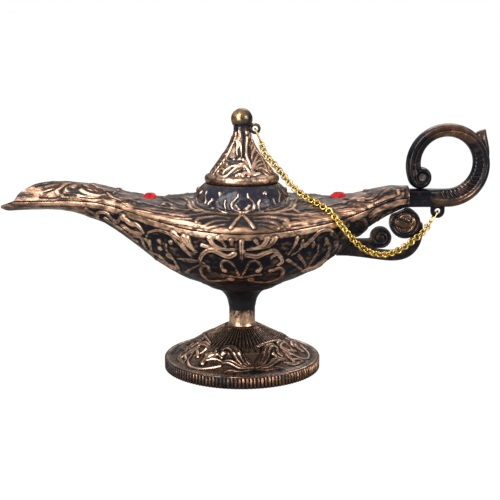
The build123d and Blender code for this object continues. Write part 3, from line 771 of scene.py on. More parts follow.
photo_view = (0.0, 0.0, 1.0)
body_view = (120.0, 150.0, 6.272)
spout_view = (0.0, 165.0, 10.453)
tail_view = (370.0, 115.0, 10.48)
lower_photo_strokes = (
    (3.3, 1.5, (181.8, 245.6), (176.4, 241.5), (169.8, 234), (159.8, 230.7), (150.7, 231.5),
     (146.9, 235.7), (146.5, 241.5), (149.9, 244.4)),
    (5, 5, (149.9, 241.6)),
    (3.2, 2, (158.6, 240.7), (160.6, 244)),
    (3, 3, (170.2, 241.5)),
    (2.2, 3.2, (166.4, 244), (166.4, 249.8), (169.8, 253.9), (173.1, 258.1), (176.4, 264.7),
     (179.7, 271.3)),
    (4.2, 4.2, (160.2, 256.8)),
    (3.4, 3.4, (160.2, 248.1)),
    (5, 1.5, (188, 239), (190.5, 244.8), (194.6, 251.4)),
    (3, 1.5, (183.8, 245.6), (188.8, 252.3)),
    (2, 1.5, (178, 258.9), (190.5, 259.3), (198, 261.4)),
    (3.5, 1.5, (186.3, 272.2), (193, 268), (201.3, 263.9)),
    (5, 3, (234.4, 253.9), (229.5, 256.4), (222.8, 254.8), (216.2, 251.4), (209.6, 250.2),
     (203.7, 253.1), (200.4, 258.1), (200.8, 262.2), (203.7, 263)),
    (3, 2.5, (209.6, 270.5), (207.9, 266.4), (203.7, 265.5), (200.8, 269.7), (202.9, 275.5),
     (207.9, 279.6), (215.4, 280.9), (226.1, 280), (229.5, 278)),
    (6.5, 6.5, (231.1, 278.8)),
    (3, 2, (226.1, 271.3), (222, 268), (221.6, 263), (225.3, 260.6), (230.3, 262.2),
     (235.3, 267.2), (237.7, 273), (240.2, 277.1)),
    (5, 5, (224.5, 270.1)),
    (4.5, 1.2, (241.5, 242.3), (241.5, 254), (241.5, 265.5)),
    (4, 4, (243.5, 251.4)),
    (5, 2, (209.6, 239), (213.7, 244.8), (222, 248.9), (234.4, 249.4)),
    (4, 1.5, (218.7, 238.2), (222.8, 242.3), (226.1, 247.3)),
    (4, 2, (231.1, 240.7), (231.9, 245.6)),
    (3, 2, (201.3, 245.6), (209.6, 246.5)),
    (3, 2, (98, 215.6), (97.2, 213.1), (102.2, 212.3), (106.3, 213.6)),
    (3, 2, (108, 214), (113, 219.8), (117.9, 223.1), (119.6, 218.9)),
    (5, 5, (122.9, 216.5)),
    (4, 2, (126.2, 219.8), (131.2, 223.1), (136.2, 223.9), (141.2, 228.9), (142.8, 232.2)),
    (3, 2, (121.3, 224.8), (127.9, 228.9), (134.5, 231.4), (141.2, 233)),
    (2.5, 1.5, (129.6, 233), (142, 234.7)),
    (2.5, 1.5, (132.9, 236.8), (141.2, 236.4)),
    (5, 3, (246.6, 254.8), (256.5, 256.4), (264.8, 253.1), (273.9, 250.6), (279.7, 255.6),
     (282.2, 261.4), (278.1, 264.7)),
    (4, 2.5, (270.2, 270.5), (273.9, 269.7), (278.9, 267.6), (283, 270.5), (281.4, 275.5),
     (275.6, 279.6), (266.5, 282.1), (254, 281.3), (249.9, 278)),
    (6.5, 6.5, (250.7, 278.8)),
    (3, 2, (258.2, 271.3), (261.1, 267.2), (258.2, 262.2), (254, 260.6), (249, 263),
     (245.7, 269.7), (241.6, 277.1)),
    (5, 5, (258, 270.5)),
    (5, 2, (274.8, 239), (271.4, 244), (264.8, 247.3), (247.4, 249.8)),
    (4, 2, (255.7, 240.7), (258.2, 244.8)),
    (4, 1.5, (297.1, 238.2), (294.7, 244.8), (288, 254.8)),
    (3, 1.5, (303, 240.7), (299.6, 249.8), (291.3, 255.6)),
    (4, 2, (304.6, 245.6), (312.1, 239), (318.7, 232.4), (327, 229.9), (334.5, 232.4),
     (337.8, 238.2)),
    (3, 2, (312.9, 246.5), (313.7, 242.3), (317.9, 245.6), (317, 253.1), (311.2, 261.4),
     (306.3, 270.5)),
    (3, 2, (324.5, 244.8), (328.7, 239.8)),
    (3, 2, (334.5, 241.5), (335.3, 246.5)),
    (10.0, 6.0, (325, 257), (316, 265), (304, 270)),
)
lower_body_strokes = (
    (4.0, 2.0, (140, 560), (158, 605), (200, 650), (225, 690)),
    (4.5, 2.5, (255, 665), (290, 700), (345, 750), (372, 770)),
    (3.5, 2.0, (185, 590), (205, 640), (240, 660)),
    (4.5, 2.0, (300, 660), (340, 690), (380, 760)),
    (4.0, 2.0, (90, 520), (130, 548), (170, 560)),
    (3.5, 1.5, (400, 690), (470, 700), (500, 690)),
    (5.0, 2.0, (330, 520), (380, 560), (400, 600)),
    (5.0, 2.0, (395, 545), (430, 600), (480, 640)),
    (3.0, 2.0, (640, 780), (700, 790), (760, 800)),
    (3.0, 2.0, (880, 780), (820, 790), (760, 800)),
    (4.5, 4.5, (1213, 590)),
    (4.0, 2.0, (1292, 560), (1312, 620), (1265, 690), (1190, 760)),
    (5.0, 2.0, (1330, 520), (1362, 560), (1352, 620), (1300, 660)),
    (5.0, 2.5, (1450, 545), (1520, 520), (1548, 480), (1530, 440), (1490, 432)),
    (4.0, 2.0, (1380, 600), (1362, 640), (1300, 690)),
    (3.5, 2.0, (1120, 660), (1150, 700), (1170, 745)),
    (3.5, 2.0, (1290, 690), (1240, 740), (1180, 755)),
    (4.0, 2.0, (1430, 470), (1400, 510), (1350, 540)),
    (3.5, 2.0, (1050, 690), (1100, 720), (1150, 760)),
)
lower_spout_strokes = (
    (3.5, 3.0, (1020, 560), (1015, 520), (1040, 495), (1090, 495), (1130, 520), (1180, 572),
     (1230, 590), (1250, 560), (1268, 545)),
    (6.5, 6.5, (1285, 548)),
    (5.0, 3.0, (1330, 588), (1380, 618), (1430, 625), (1480, 680), (1500, 705)),
    (4.5, 2.5, (1290, 640), (1350, 680), (1420, 708), (1480, 720)),
    (3.5, 2.5, (1370, 745), (1470, 750)),
    (4.0, 3.0, (1100, 560), (1180, 610), (1260, 660), (1340, 725), (1440, 800)),
    (3.0, 2.0, (900, 460), (960, 500), (1010, 530)),
)
lower_tail_strokes = (
    (6.0, 4.0, (340, 900), (250, 950), (150, 975), (60, 1010), (0, 1060)),
    (4.0, 2.0, (220, 1020), (140, 1060), (90, 1110), (50, 1140)),
    (3.0, 2.0, (120, 1010), (60, 1050), (10, 1110)),
)
bead_view = (120.0, 150.0, 9.224)
lower_bead_strokes = (
    (4.5, 4.5, (275, 850)),
    (4.5, 4.5, (360, 835)),
    (5.0, 5.0, (470, 850)),
    (5.0, 5.0, (370, 905)),
    (4.5, 4.5, (375, 985)),
    (4.5, 4.5, (285, 940)),
    (4.8, 1.6, (625, 815), (650, 880), (690, 955)),
    (3.5, 1.6, (570, 890), (620, 945), (665, 990)),
    (3.5, 1.6, (760, 880), (850, 905), (950, 920)),
    (9.0, 4.0, (500, 1075), (440, 1055), (370, 1010)),
    (4.5, 1.6, (1360, 820), (1330, 870), (1270, 900), (1200, 910)),
    (3.5, 1.6, (1440, 960), (1400, 985), (1390, 1010)),
)
band_width = 2.6 * MM
band_height = 0.35 * MM
band_edge = 0.25 * MM
lower_strokes = ((photo_view, lower_photo_strokes), (body_view, lower_body_strokes),
                 (spout_view, lower_spout_strokes), (tail_view, lower_tail_strokes),
                 (bead_view, lower_bead_strokes))
# Swell of the strokes, depth of their groove and width of the painted shade line beside them
upper_ridges = (1.15, 0.25, 1.8)
lower_ridges = (1.45, 0.55, 1.5)
ornament_lift = 1.1
skin_inset = 0.15 * MM
skin_wave = 0.14 * MM
groove_width = 0.3 * MM
groove_depth = 0.25 * MM
hollow_depth = 0.45
# Where the copper is rubbed towards the mouth and the tail, as shares of the reach
copper_start = -0.50
copper_end = -0.66
sleeve_start = 0.66
sleeve_run = 0.14
# Where the metal is darker, towards the tail and round the neck, and by how much
tail_dark_start = 24 * MM
tail_dark_run = 14 * MM
neck_dark_reach = 25 * MM
deck_darkening = 0.16
lower_tail_darkening = 0.44
plain_neck_darkening = 0.20
# How rubbed plain metal is, and what the mouth and the tail's sleeve add
upper_rub = (0.34, 0.19, 0.16)
lower_rub = (0.05, 0.42, 0.16)
band_rub = 0.68


def dress_side(points, tree, strokes, hollows, side):
    """Ornament, the flat band beside the seam, and the rubbed copper at the mouth and tail."""
    swell, vein, shadow = upper_ridges if side > 0 else lower_ridges
    plain_rub, mouth_rub, sleeve_rub = upper_rub if side > 0 else lower_rub
    front = points.copy()
    front[:, 1] = -np.abs(points[:, 1])
    traced = trace_all(tree, strokes, swell)
    ornament, crest = relief_over(front, traced, vein)
    outline, _ = relief_over(front, widened(traced, shadow))
    hollow, dark = relief_over(front, trace_all(tree, hollows))
    spout = np.clip((copper_start - points[:, 0] / spout_reach) / (copper_start - copper_end), 0, 1)
    tail = np.clip((points[:, 0] / tail_reach - sleeve_start) / sleeve_run, 0, 1)
    by_tail = np.clip((points[:, 0] - tail_dark_start) / tail_dark_run, 0, 1)
    top, beside = ridge_wear_and_shade(ornament, crest, outline)
    top = top * (0.90 + 0.20 * waves(front, 7 * MM, 21))
    if side > 0:
        _, cross = relief_over(front, trace(tree, body_view, cross_strokes))
        by_neck = np.clip(1.6 - np.abs(points[:, 0]) / neck_dark_reach, 0, 1)
        top = top * (1 - deck_darkening * by_neck - deck_darkening * by_tail)
        top = np.maximum(top, 1.3 * cross)
        plain_rub = plain_rub - plain_neck_darkening * by_neck
    else:
        top = top * (1 - lower_tail_darkening * by_tail)
    rub = plain_rub + mouth_rub * spout + sleeve_rub * tail

    # The band beside the seam is narrower towards the mouth, and a groove runs along the seam
    _, _, seam, _ = hull_at(points[:, 0])
    away = side * (points[:, 2] - seam)
    width = band_width * np.interp(points[:, 0], hull_line[:, 0], seam_stops)
    band = np.clip((width - away) / band_edge, 0, 1)
    groove = np.clip(1 - away / groove_width, 0, 1)
    ornament = ornament * (1 - 0.65 * spout) * (1 - 0.4 * tail)
    height = np.maximum(ornament * ornament_lift, band * band_height)
    height = height - groove_depth * groove - skin_inset
    height += skin_wave * waves(front, 5 * MM, 3) * (1 - 0.6 * band) - hollow_depth * hollow
    drawn = front * (0.35, 1, 1)
    rub = rub + 0.16 * waves(drawn, 4 * MM, 12)
    flat = band * (band_rub - 0.10 * by_tail + 0.16 * waves(drawn, 3 * MM, 5))
    # Black beside the strokes is painted shade, fainter towards the mouth
    value = np.maximum(np.maximum(top, flat), rub) - 0.42 * beside * (1 - 0.5 * spout)
    return height, value - 0.9 * groove - 1.0 * dark


def dress_lower(points, tree):
    return dress_side(points, tree, lower_strokes, (), -1)


seam_stops = np.interp(hull_line[:, 0], (-spout_reach, -0.5 * spout_reach, tail_reach),
                       (0.45, 1.0, 1.0))
body_metal = metal("body_metal", (0.005, 0.005, 0.007), (0.56, 0.32, 0.20), streak=0.4,
                   hollow_rough=0.42)
keel_metal = metal("keel_metal", (0.003, 0.003, 0.005), (0.84, 0.51, 0.33), streak=0.4,
                   hollow_rough=0.36, sheen_level=0.1)
lower_turns = 232
upper_turns = 150
room_turns = 40
room_start = stations[0, 0] + 0.8 * MM
fine_reaches = np.linspace(stations[0, 0], tail_reach, 372)
coarse_reaches = np.linspace(room_start, tail_reach - shell_wall, 90)
lower = new_object("lower_shell", half_hull("lower_shell", -1, fine_reaches, lower_turns,
                                            dress=dress_lower, material=keel_metal))
lower_room = new_object("room", half_hull("room", -1, coarse_reaches, room_turns, shell_wall))
mouth_shares = ((1.010, 0.884), (0.978, 0.902), (0.938, 0.935), (0.912, 1.003), (0.878, 1.047),
                (0.840, 1.072), (0.790, 1.090), (0.740, 1.115))
mouth_line = smooth_line([(-share * spout_reach, keel_level + rise * hull_rise)
                          for share, rise in mouth_shares], 8)
overrun = 5 * MM


def mouth_cutter():
    """Everything ahead of the mouth's curve, right across the spout."""
    far = mouth_line[0][0] - overrun
    high = mouth_line[-1][1] + overrun
    outline = [tuple(p) for p in mouth_line] + [(mouth_line[-1][0], high), (far, high),
                                                (far, mouth_line[0][1])]
    return prism("mouth", outline, body_half_width)


cut_by(lower, lower_room, mouth_cutter())
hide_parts("lower_body")
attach(lower, "root")


# Stem funnel
# The flare under the hull, cast on the lower shell, that stands on the stem band.
funnel_bore_radius = 1.9 * MM
funnel_bottom_radius = 5.3 * MM
funnel_top_radius = 14.0 * MM
funnel_height = 11.6 * MM
funnel_bore_top = 1.2
funnel_blend = 1.2 * MM
funnel_flare_shares = ((0, 0), (0.03, 0.18), (0.15, 0.53), (0.47, 0.82), (1, 1))
funnel_flare = smooth_line([
    (funnel_bottom_radius + out * (funnel_top_radius - funnel_bottom_radius),
     keel_level + up * funnel_height) for out, up in funnel_flare_shares], 12)
funnel_slope = 0.9
funnel_end_radius = 18.0 * MM
funnel_end_radii = np.linspace(funnel_top_radius, funnel_end_radius, 12)[1:]
funnel_profile = [(funnel_bore_radius, keel_level)] + list(funnel_flare) + [
    (r, keel_level + funnel_height + (r - funnel_top_radius) * funnel_slope)
    for r in funnel_end_radii]
funnel_profile.append((funnel_bore_radius, keel_level + funnel_bore_top * funnel_height))


def lay_funnel(points, faces):
    """Runs the flare softly into the hull all round."""
    points = points.copy()
    radius, _ = around(points)
    below_bore_top = points[:, 2] < keel_level + (funnel_bore_top - 0.01) * funnel_height
    skin = below_bore_top | (radius > funnel_bore_radius + 0.1 * MM)
    hull = hull_skin(points, -1)
    meeting = np.minimum(hull, points[:, 2]) - soft_meeting(hull, points[:, 2], funnel_blend)
    end = radius > funnel_end_radius - 0.4 * MM
    points[skin, 2] = np.where(end, hull + 0.6 * MM, meeting)[skin]
    return points, np.zeros(len(points))


funnel = new_object("stem_funnel", turned("stem_funnel", funnel_profile, 160, body_metal,
                                          lay_funnel))
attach(funnel, "root")


# Upper shell of the body
# The copper casting over the seam, open at the mouth and the neck: grooves in the spout's hood,
# an X of bands below the collar on both sides, and scrolls along the spout and the tail.
neck_bore_radius = 13.3 * MM
neck_clearance = 0.8 * MM
cross_strokes = (
    (3.4, 3.8, (765, 400), (730, 440), (695, 487)),
    (3.4, 3.8, (765, 400), (800, 440), (840, 487)),
)
upper_body_strokes = (
    (4.0, 2.0, (452, 325), (470, 358), (520, 380), (600, 392), (690, 398)),
    (3.5, 2.0, (478, 300), (492, 340), (545, 366), (620, 381), (700, 392)),
    (3.0, 2.0, (0, 300), (90, 318), (180, 340), (280, 362), (380, 372), (430, 385)),
    (2.5, 1.5, (20, 345), (120, 356), (220, 372), (330, 388), (400, 398)),
    (2.5, 1.5, (300, 310), (340, 330), (400, 345)),
    (3.5, 3.5, (62, 340)),
    (3.5, 3.5, (92, 345)),
    (3.5, 3.5, (127, 335)),
    (4.0, 4.0, (290, 312)),
    (3.5, 3.5, (275, 345)),
    (4.5, 3.0, (0, 372), (80, 375), (170, 385), (250, 397), (340, 404), (420, 410), (500, 402),
     (600, 398), (700, 402), (765, 400)),
    (5.0, 3.0, (430, 345), (450, 372), (500, 385), (560, 393), (640, 400), (765, 402)),
    (3.5, 2.0, (440, 375), (390, 396), (330, 404)),
    (5.5, 3.0, (478, 468), (484, 440), (530, 428), (600, 418), (690, 428)),
    (5.0, 5.0, (500, 462)),
    (4.0, 2.0, (520, 478), (570, 455), (630, 445), (690, 442)),
    (4.0, 2.0, (545, 492), (600, 478), (660, 466)),
    (5.5, 4.0, (60, 392), (170, 412), (260, 428), (340, 445), (420, 455), (475, 468)),
    (4.0, 2.5, (230, 415), (300, 420), (380, 430), (450, 432)),
    (3.5, 2.0, (255, 348), (290, 330), (330, 350), (352, 368)),
    (4.0, 4.0, (322, 364)),
    (3.5, 2.0, (380, 300), (420, 315), (440, 345)),
    (3.0, 2.0, (270, 300), (330, 305), (390, 300)),
)
upper_spout_strokes = (
    (6.5, 6.5, (770, 222)),
    (5.0, 3.0, (690, 200), (640, 228), (600, 268), (622, 310), (700, 332)),
    (4.0, 2.0, (720, 190), (690, 225), (690, 262), (740, 285)),
    (5.0, 2.0, (850, 262), (900, 290), (960, 308), (1040, 315), (1100, 300)),
    (4.0, 2.0, (880, 210), (940, 248), (1010, 268)),
    (3.0, 1.5, (960, 200), (1010, 225), (1060, 240), (1095, 268)),
    (3.5, 2.0, (480, 222), (560, 202), (650, 190), (735, 182)),
    (4.0, 2.5, (820, 320), (900, 345), (1000, 360), (1080, 356)),
    (5.0, 3.0, (1290, 395), (1380, 445), (1480, 462), (1568, 480)),
    (4.5, 2.5, (1100, 380), (1200, 410), (1300, 440)),
    (3.5, 2.0, (440, 300), (520, 262), (600, 236)),
)
spout_root_strokes = (
    (5.0, 3.0, (1110, 300), (1150, 332), (1200, 360), (1290, 366), (1380, 356), (1450, 350)),
    (4.5, 4.5, (1235, 268)),
    (4.0, 4.0, (1195, 285)),
    (4.0, 3.0, (1350, 420), (1372, 435)),
    (4.0, 3.0, (1395, 400), (1415, 418)),
    (4.0, 3.0, (1440, 385), (1460, 402)),
)
upper_tail_strokes = (
    (5.0, 3.0, (195, 785), (110, 840), (0, 900)),
    (4.5, 3.0, (300, 790), (305, 850), (210, 890), (100, 935), (0, 1000)),
    (4.0, 3.0, (250, 850), (150, 880), (60, 930)),
    (4.5, 4.5, (350, 830)),
)
photo_middle = 242.0


def mirrored(view, strokes):
    """The same strokes on the other side of the neck, as they stand in the photograph."""
    left, top, scale = view
    turned_over = tuple((wide, narrow, *[(2 * (photo_middle - left) * scale - u, v)
                                         for u, v in spots]) for wide, narrow, *spots in strokes)
    return view, turned_over


upper_strokes = (
    (body_view, cross_strokes + upper_body_strokes), mirrored(body_view, upper_body_strokes),
    (spout_view, upper_spout_strokes + spout_root_strokes),
    mirrored(spout_view, spout_root_strokes), (tail_view, upper_tail_strokes))
hood_view = (0.0, 150.0, 9.224)
hood_hollows = (
    (2.6, 1.6, (330, 335), (410, 312), (490, 302), (560, 306)),
    (1.8, 1.2, (395, 398), (460, 380), (520, 352), (560, 328)),
    (2.4, 1.4, (570, 385), (595, 345), (640, 312)),
    (1.8, 1.2, (636, 345), (680, 366), (728, 348)),
    (1.6, 1.2, (640, 388), (720, 396), (800, 412)),
    (2.2, 1.2, (752, 325), (820, 352), (885, 378)),
    (2.2, 1.2, (600, 418), (660, 412), (700, 418)),
    (1.8, 1.2, (740, 436), (830, 446), (935, 450)),
    (2.6, 1.6, (372, 440), (420, 442), (500, 446), (550, 432)),
    (1.8, 1.2, (960, 385), (1010, 438), (1080, 465), (1160, 492), (1220, 490)),
    (2.2, 1.2, (1100, 408), (1170, 446), (1230, 452)),
    (1.6, 1.2, (1240, 540), (1330, 560), (1450, 588), (1560, 600)),
    (1.6, 1.0, (160, 425), (230, 415), (300, 408)),
)
sleeve_view = (330.0, 90.0, 9.8)
sleeve_hollows = (
    (1.6, 1.2, (690, 958), (688, 1030), (570, 1075), (430, 1130)),
    (2.6, 1.4, (480, 1058), (560, 1005), (640, 985)),
    (2.0, 1.2, (640, 1058), (560, 1095), (470, 1130)),
    (2.2, 1.2, (350, 1085), (430, 1070), (520, 990)),
    (1.8, 1.4, (742, 965), (730, 1060)),
)
upper_hollows = ((hood_view, hood_hollows), (sleeve_view, sleeve_hollows))


def dress_upper(points, tree):
    return dress_side(points, tree, upper_strokes, upper_hollows, 1)


upper = new_object("upper_shell", half_hull("upper_shell", 1, fine_reaches, upper_turns,
                                            dress=dress_upper, material=body_metal))
upper_room = new_object("room", half_hull("room", 1, coarse_reaches, room_turns, shell_wall))
neck_hole_radius = neck_bore_radius + neck_clearance
neck_hole_outline = ((0.0, neck_top + overrun), (neck_hole_radius, neck_top + overrun),
                     (neck_hole_radius, neck_top - 3 * overrun), (0.0, neck_top - 3 * overrun))
neck_hole = new_object("neck_hole", turned("neck_hole", neck_hole_outline, 96, None))
face_out(neck_hole.data, merge=0.01 * MM)
cut_by(upper, upper_room, mouth_cutter(), neck_hole)
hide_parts("upper_body")
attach(upper, "root")


# Neck collar
# The hollow-sided collar round the filler hole, cast on the upper shell: six lyre-shaped loops
# with a bead between each two, in glossy dark copper.
neck_rim_radius = 15.0 * MM
neck_foot_radius = 20.6 * MM
neck_foot_drop = 5.0 * MM
collar_end_radius = 24.5 * MM
collar_drop = 0.8 * MM
collar_top = neck_top - collar_drop
collar_sides = 480
collar_repeats = 6
collar_rows = 64
neck_flare_shares = ((1, 0), (0.94, 0.16), (0.72, 0.48), (0.38, 0.80), (0, 1))
collar_strokes = (
    (1.8, 3.4, (742, 277), (736, 300), (708, 328), (698, 346), (706, 372), (758, 394)),
    (1.8, 3.4, (801, 274), (806, 300), (833, 328), (842, 348), (834, 372), (778, 394)),
    (2.4, 2.4, (728, 350), (748, 374), (767, 392), (790, 374), (812, 350)),
    (5.4, 5.4, (626, 278)),
    (3.0, 1.8, (661, 322), (657, 346), (666, 382)),
    (3.0, 1.8, (879, 318), (868, 340), (876, 380)),
    (2.4, 1.6, (606, 366), (640, 388), (690, 398)),
    (2.4, 1.6, (930, 366), (896, 388), (846, 398)),
)
collar_rise = neck_rise + neck_foot_drop - collar_drop
collar_blend = 0.8 * MM
collar_end_sink = 1.2 * MM
collar_ornament_lift = 1.15
collar_wave = 0.15 * MM
collar_rim_width = 0.9 * MM
# How rubbed the collar is: low down, at its ends along the lamp, and all over
collar_low_rub = 0.42
collar_end_rub = 0.64
collar_rub = 0.06
collar_flare = smooth_line([
    (neck_rim_radius + out * (neck_foot_radius - neck_rim_radius),
     collar_top - collar_rise + up * collar_rise) for out, up in neck_flare_shares], 16)


def raise_collar(points, faces):
    """Lays the collar on the hull, with its ornament repeated round it."""
    radius, angle = around(points)
    hull = hull_skin(points, 1)
    collar = np.interp(radius, collar_flare[::-1, 0], collar_flare[::-1, 1])
    sink = np.clip((radius - neck_foot_radius) / (collar_end_radius - neck_foot_radius), 0, 1)
    top = np.maximum(hull, collar) + soft_meeting(hull, collar, collar_blend)
    top = top - collar_end_sink * sink ** 2
    outer = points[:, 2] > collar_top - 1 * MM
    lying = outer & (radius > neck_rim_radius - 0.01 * MM)
    points = points.copy()
    points[lying, 2] = top[lying]
    loops = trace(BVHTree.FromPolygons(points, faces), body_view, collar_strokes)
    ornament, crest = repeated_relief(points, loops, collar_repeats, 0.0)
    outline, _ = repeated_relief(points, widened(loops, 2.2), collar_repeats, 0.0)
    # Black beside the loops is painted shade
    beside = np.clip(outline / (0.3 * MM), 0, 1) * (ornament <= 0)
    out = places_round(angle, 0.6, 0.8)
    uneven = collar_wave * waves(points, 3.4 * MM, 2) * (radius > neck_rim_radius + 0.5 * MM)
    points = points + out * ((collar_ornament_lift * ornament + uneven) * lying)[:, None]
    rim = np.clip(1 - np.abs(radius - neck_rim_radius) / collar_rim_width, 0, 1)
    low = collar_low_rub * np.clip((radius - 0.92 * neck_foot_radius) / (3 * MM), 0, 1)
    ends = collar_end_rub * np.clip((np.abs(np.cos(angle)) - 0.72) / 0.25, 0, 1)
    smoke = collar_rub + 0.20 * waves(points, 4 * MM, 9)
    worn = np.maximum(crest * 1.1, np.maximum(low, ends) + smoke) - 0.7 * beside
    return points, np.maximum(worn * lying, 0.5 * rim)


collar_radii = np.linspace(collar_end_radius, neck_rim_radius, collar_rows)
collar_profile = [(r, collar_top) for r in collar_radii]
collar_profile += [(neck_rim_radius - 0.2 * MM, collar_top),
                   (neck_bore_radius + 0.2 * MM, collar_top),
                   (neck_bore_radius, collar_top - 0.2 * MM),
                   (neck_bore_radius, collar_top - 5.5 * MM),
                   (neck_rim_radius, collar_top - 8.0 * MM),
                   (collar_end_radius - 1 * MM, collar_top - 14 * MM)]
collar_metal = metal("collar_metal", (0.008, 0.008, 0.016), (0.50, 0.34, 0.25),
                     hollow_rough=0.22, ridge_rough=0.27, sheen_level=0.28, break_depth=1.1,
                     patch_depth=0.6, lift=-0.03)
collar = new_object("neck_collar", turned("neck_collar", collar_profile, collar_sides,
                                          collar_metal, raise_collar))
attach(collar, "root")


# Lid
# A hollow cone with a rounded rim and a plug below that sits in the neck. Acanthus leaves
# stand round it three times, in paler copper with black left between them.
lid_low, lid_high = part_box("lid")
lid_rim_radius = lid_high.x
lid_bottom = collar_top + 0.1 * MM
lid_rim_height = 3.3 * MM
lid_shoulder_radius = 14.3 * MM
lid_top_radius = 3.2 * MM
lid_rim_bulge = 1.1 * MM
lid_cone_height = 18.4 * MM
lid_cone_rows = 84
lid_bore_radius = 1.6 * MM
lid_leaf_rub = 0.72
lid_rim_rub = 0.68
lid_ridge_lift = 0.7
lid_hollow_depth = 0.6
lid_wall = 1.3 * MM
lid_repeats = 3
lid_sides = 480
lid_cone_shares = ((0.96, 0), (0.84, 0.08), (0.50, 0.37), (0.15, 0.69), (0, 1))
lid_shoulder = lid_bottom + lid_rim_height
lid_view = (185.0, 100.0, 13.635)
lid_middle_turn = math.radians(5)
lid_strokes = (
    (2.6, 1.6, (700, 560), (716, 620), (702, 690), (716, 745), (752, 792)),
    (2.6, 1.6, (640, 612), (600, 700), (560, 798), (620, 820), (700, 802), (770, 812)),
    (3.2, 1.5, (745, 590), (770, 650), (778, 740), (800, 822)),
    (3.2, 1.5, (850, 520), (832, 640), (842, 760), (882, 850), (905, 932)),
    (2.8, 1.5, (962, 662), (918, 740), (902, 830), (915, 930)),
    (2.2, 1.4, (1000, 740), (960, 820), (930, 890), (915, 960)),
    (2.6, 1.6, (920, 1010), (950, 962), (1000, 932), (1080, 940), (1150, 1000), (1170, 1032)),
    (2.4, 1.4, (925, 1000), (942, 970), (990, 906), (1060, 880), (1130, 902)),
    (2.4, 1.4, (922, 990), (935, 940), (965, 872), (1020, 832), (1085, 842)),
    (2.6, 1.6, (930, 1020), (1050, 992), (1140, 1032)),
    (2.6, 1.6, (905, 1010), (870, 960), (822, 900), (782, 862)),
    (2.6, 1.4, (782, 868), (700, 848), (620, 855), (560, 880)),
    (3.0, 2.2, (782, 900), (700, 922), (640, 970), (562, 1032), (482, 1042), (440, 1010),
     (452, 962), (500, 942), (532, 962), (515, 1000), (478, 990)),
    (2.4, 1.4, (760, 890), (650, 898), (585, 930), (545, 962)),
    (2.2, 1.4, (690, 480), (672, 540), (650, 600)),
    (2.2, 1.4, (735, 430), (742, 500), (728, 560)),
    (2.4, 2.4, (700, 1030), (720, 1000), (760, 1010)),
    (2.4, 2.4, (790, 1040), (810, 990), (850, 1000)),
    (2.4, 1.6, (870, 1040), (880, 1010), (905, 1010)),
    (2.4, 1.4, (560, 780), (520, 830), (470, 890), (420, 960), (390, 1010)),
    (2.4, 1.4, (900, 420), (880, 500), (850, 560)),
    (2.4, 1.4, (930, 600), (900, 660), (880, 720)),
)
lid_dark_strokes = (
    (4.6, 3.0, (785, 395), (800, 520), (802, 650), (795, 780)),
    (3.0, 2.0, (880, 640), (888, 760), (905, 880)),
    (3.2, 2.0, (600, 865), (690, 862), (780, 845)),
    (3.0, 1.6, (790, 960), (700, 1000), (620, 1035)),
    (3.0, 1.6, (590, 800), (660, 835), (760, 845)),
    (2.4, 1.6, (950, 960), (1010, 975), (1080, 1010)),
    (3.0, 2.0, (700, 800), (740, 760), (735, 660)),
)
lid_flare = smooth_line([
    (lid_top_radius + out * (lid_shoulder_radius - lid_top_radius),
     lid_shoulder + up * lid_cone_height) for out, up in lid_cone_shares], 40)
lid_cone = spaced(lid_flare, lid_cone_rows)
lid_top = lid_shoulder + lid_cone_height
rim_turns = np.radians(np.linspace(-80, 80, 12))
lid_rim_round = [(lid_rim_radius - lid_rim_bulge + lid_rim_bulge * math.cos(turn),
                  lid_bottom + lid_rim_height * (0.5 + 0.5 * math.sin(turn))) for turn in rim_turns]
lid_outside = lid_rim_round + [(lid_shoulder_radius - 0.1 * MM, lid_shoulder)] + list(lid_cone)
rim_rows = len(lid_rim_round) + 1
lid_inside = [(lid_bore_radius, lid_top), (lid_bore_radius, lid_top - 2 * MM),
              (lid_top_radius + 0.28 * (lid_shoulder_radius - lid_top_radius) - lid_wall,
               lid_shoulder + 0.55 * lid_cone_height),
              (lid_shoulder_radius - 2.2 * MM, lid_bottom),
              (lid_shoulder_radius - 2.6 * MM, lid_low.z),
              (lid_shoulder_radius - 1.2 * MM, lid_low.z),
              (lid_shoulder_radius - 1.1 * MM, lid_bottom)]


def raise_lid(points, faces):
    """Acanthus leaves round the cone, and specks on the rim."""
    _, angle = around(points)
    plain = BVHTree.FromPolygons(points, faces)
    leaves = trace(plain, lid_view, lid_strokes, swell=1.35)
    hollows = trace(plain, lid_view, lid_dark_strokes, swell=1.2)
    ornament, crest = repeated_relief(points, leaves, lid_repeats, lid_middle_turn)
    outline, _ = repeated_relief(points, widened(leaves, 1.8), lid_repeats, lid_middle_turn)
    hollow, dark = repeated_relief(points, hollows, lid_repeats, lid_middle_turn)
    top, beside = ridge_wear_and_shade(ornament, crest, outline)
    row = np.arange(len(points)) // lid_sides
    on_cone = (row >= rim_rows) & (row < len(lid_outside))
    out = places_round(angle, 0.8, 0.6)
    raised = lid_ridge_lift * ornament - lid_hollow_depth * hollow
    points = points + out * (raised * on_cone)[:, None]
    # Black beside the leaves is painted shade
    leaf_value = lid_leaf_rub + 0.25 * top - 0.5 * beside - 1.1 * dark
    leaf_value = leaf_value + 0.15 * waves(points, 5 * MM, 6)
    up = (points[:, 2] - lid_bottom) / lid_rim_height
    under = np.clip((0.35 - up) / 0.3, 0, 1)
    specks = 0.20 * waves(points, 1.3 * MM, 17)
    rim_value = lid_rim_rub + 0.20 * waves(points, 3 * MM, 7) + specks - 0.5 * under
    return points, np.where(on_cone, leaf_value, rim_value * (row < rim_rows))


lid_metal = metal("lid_metal", (0.010, 0.009, 0.014), (0.70, 0.44, 0.29), break_size=420.0,
                  break_depth=1.3)
lid = new_object("lid_dressed", turned("lid_dressed", lid_outside + lid_inside, lid_sides,
                                       lid_metal, raise_lid))
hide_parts("lid")
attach(lid, "lid")


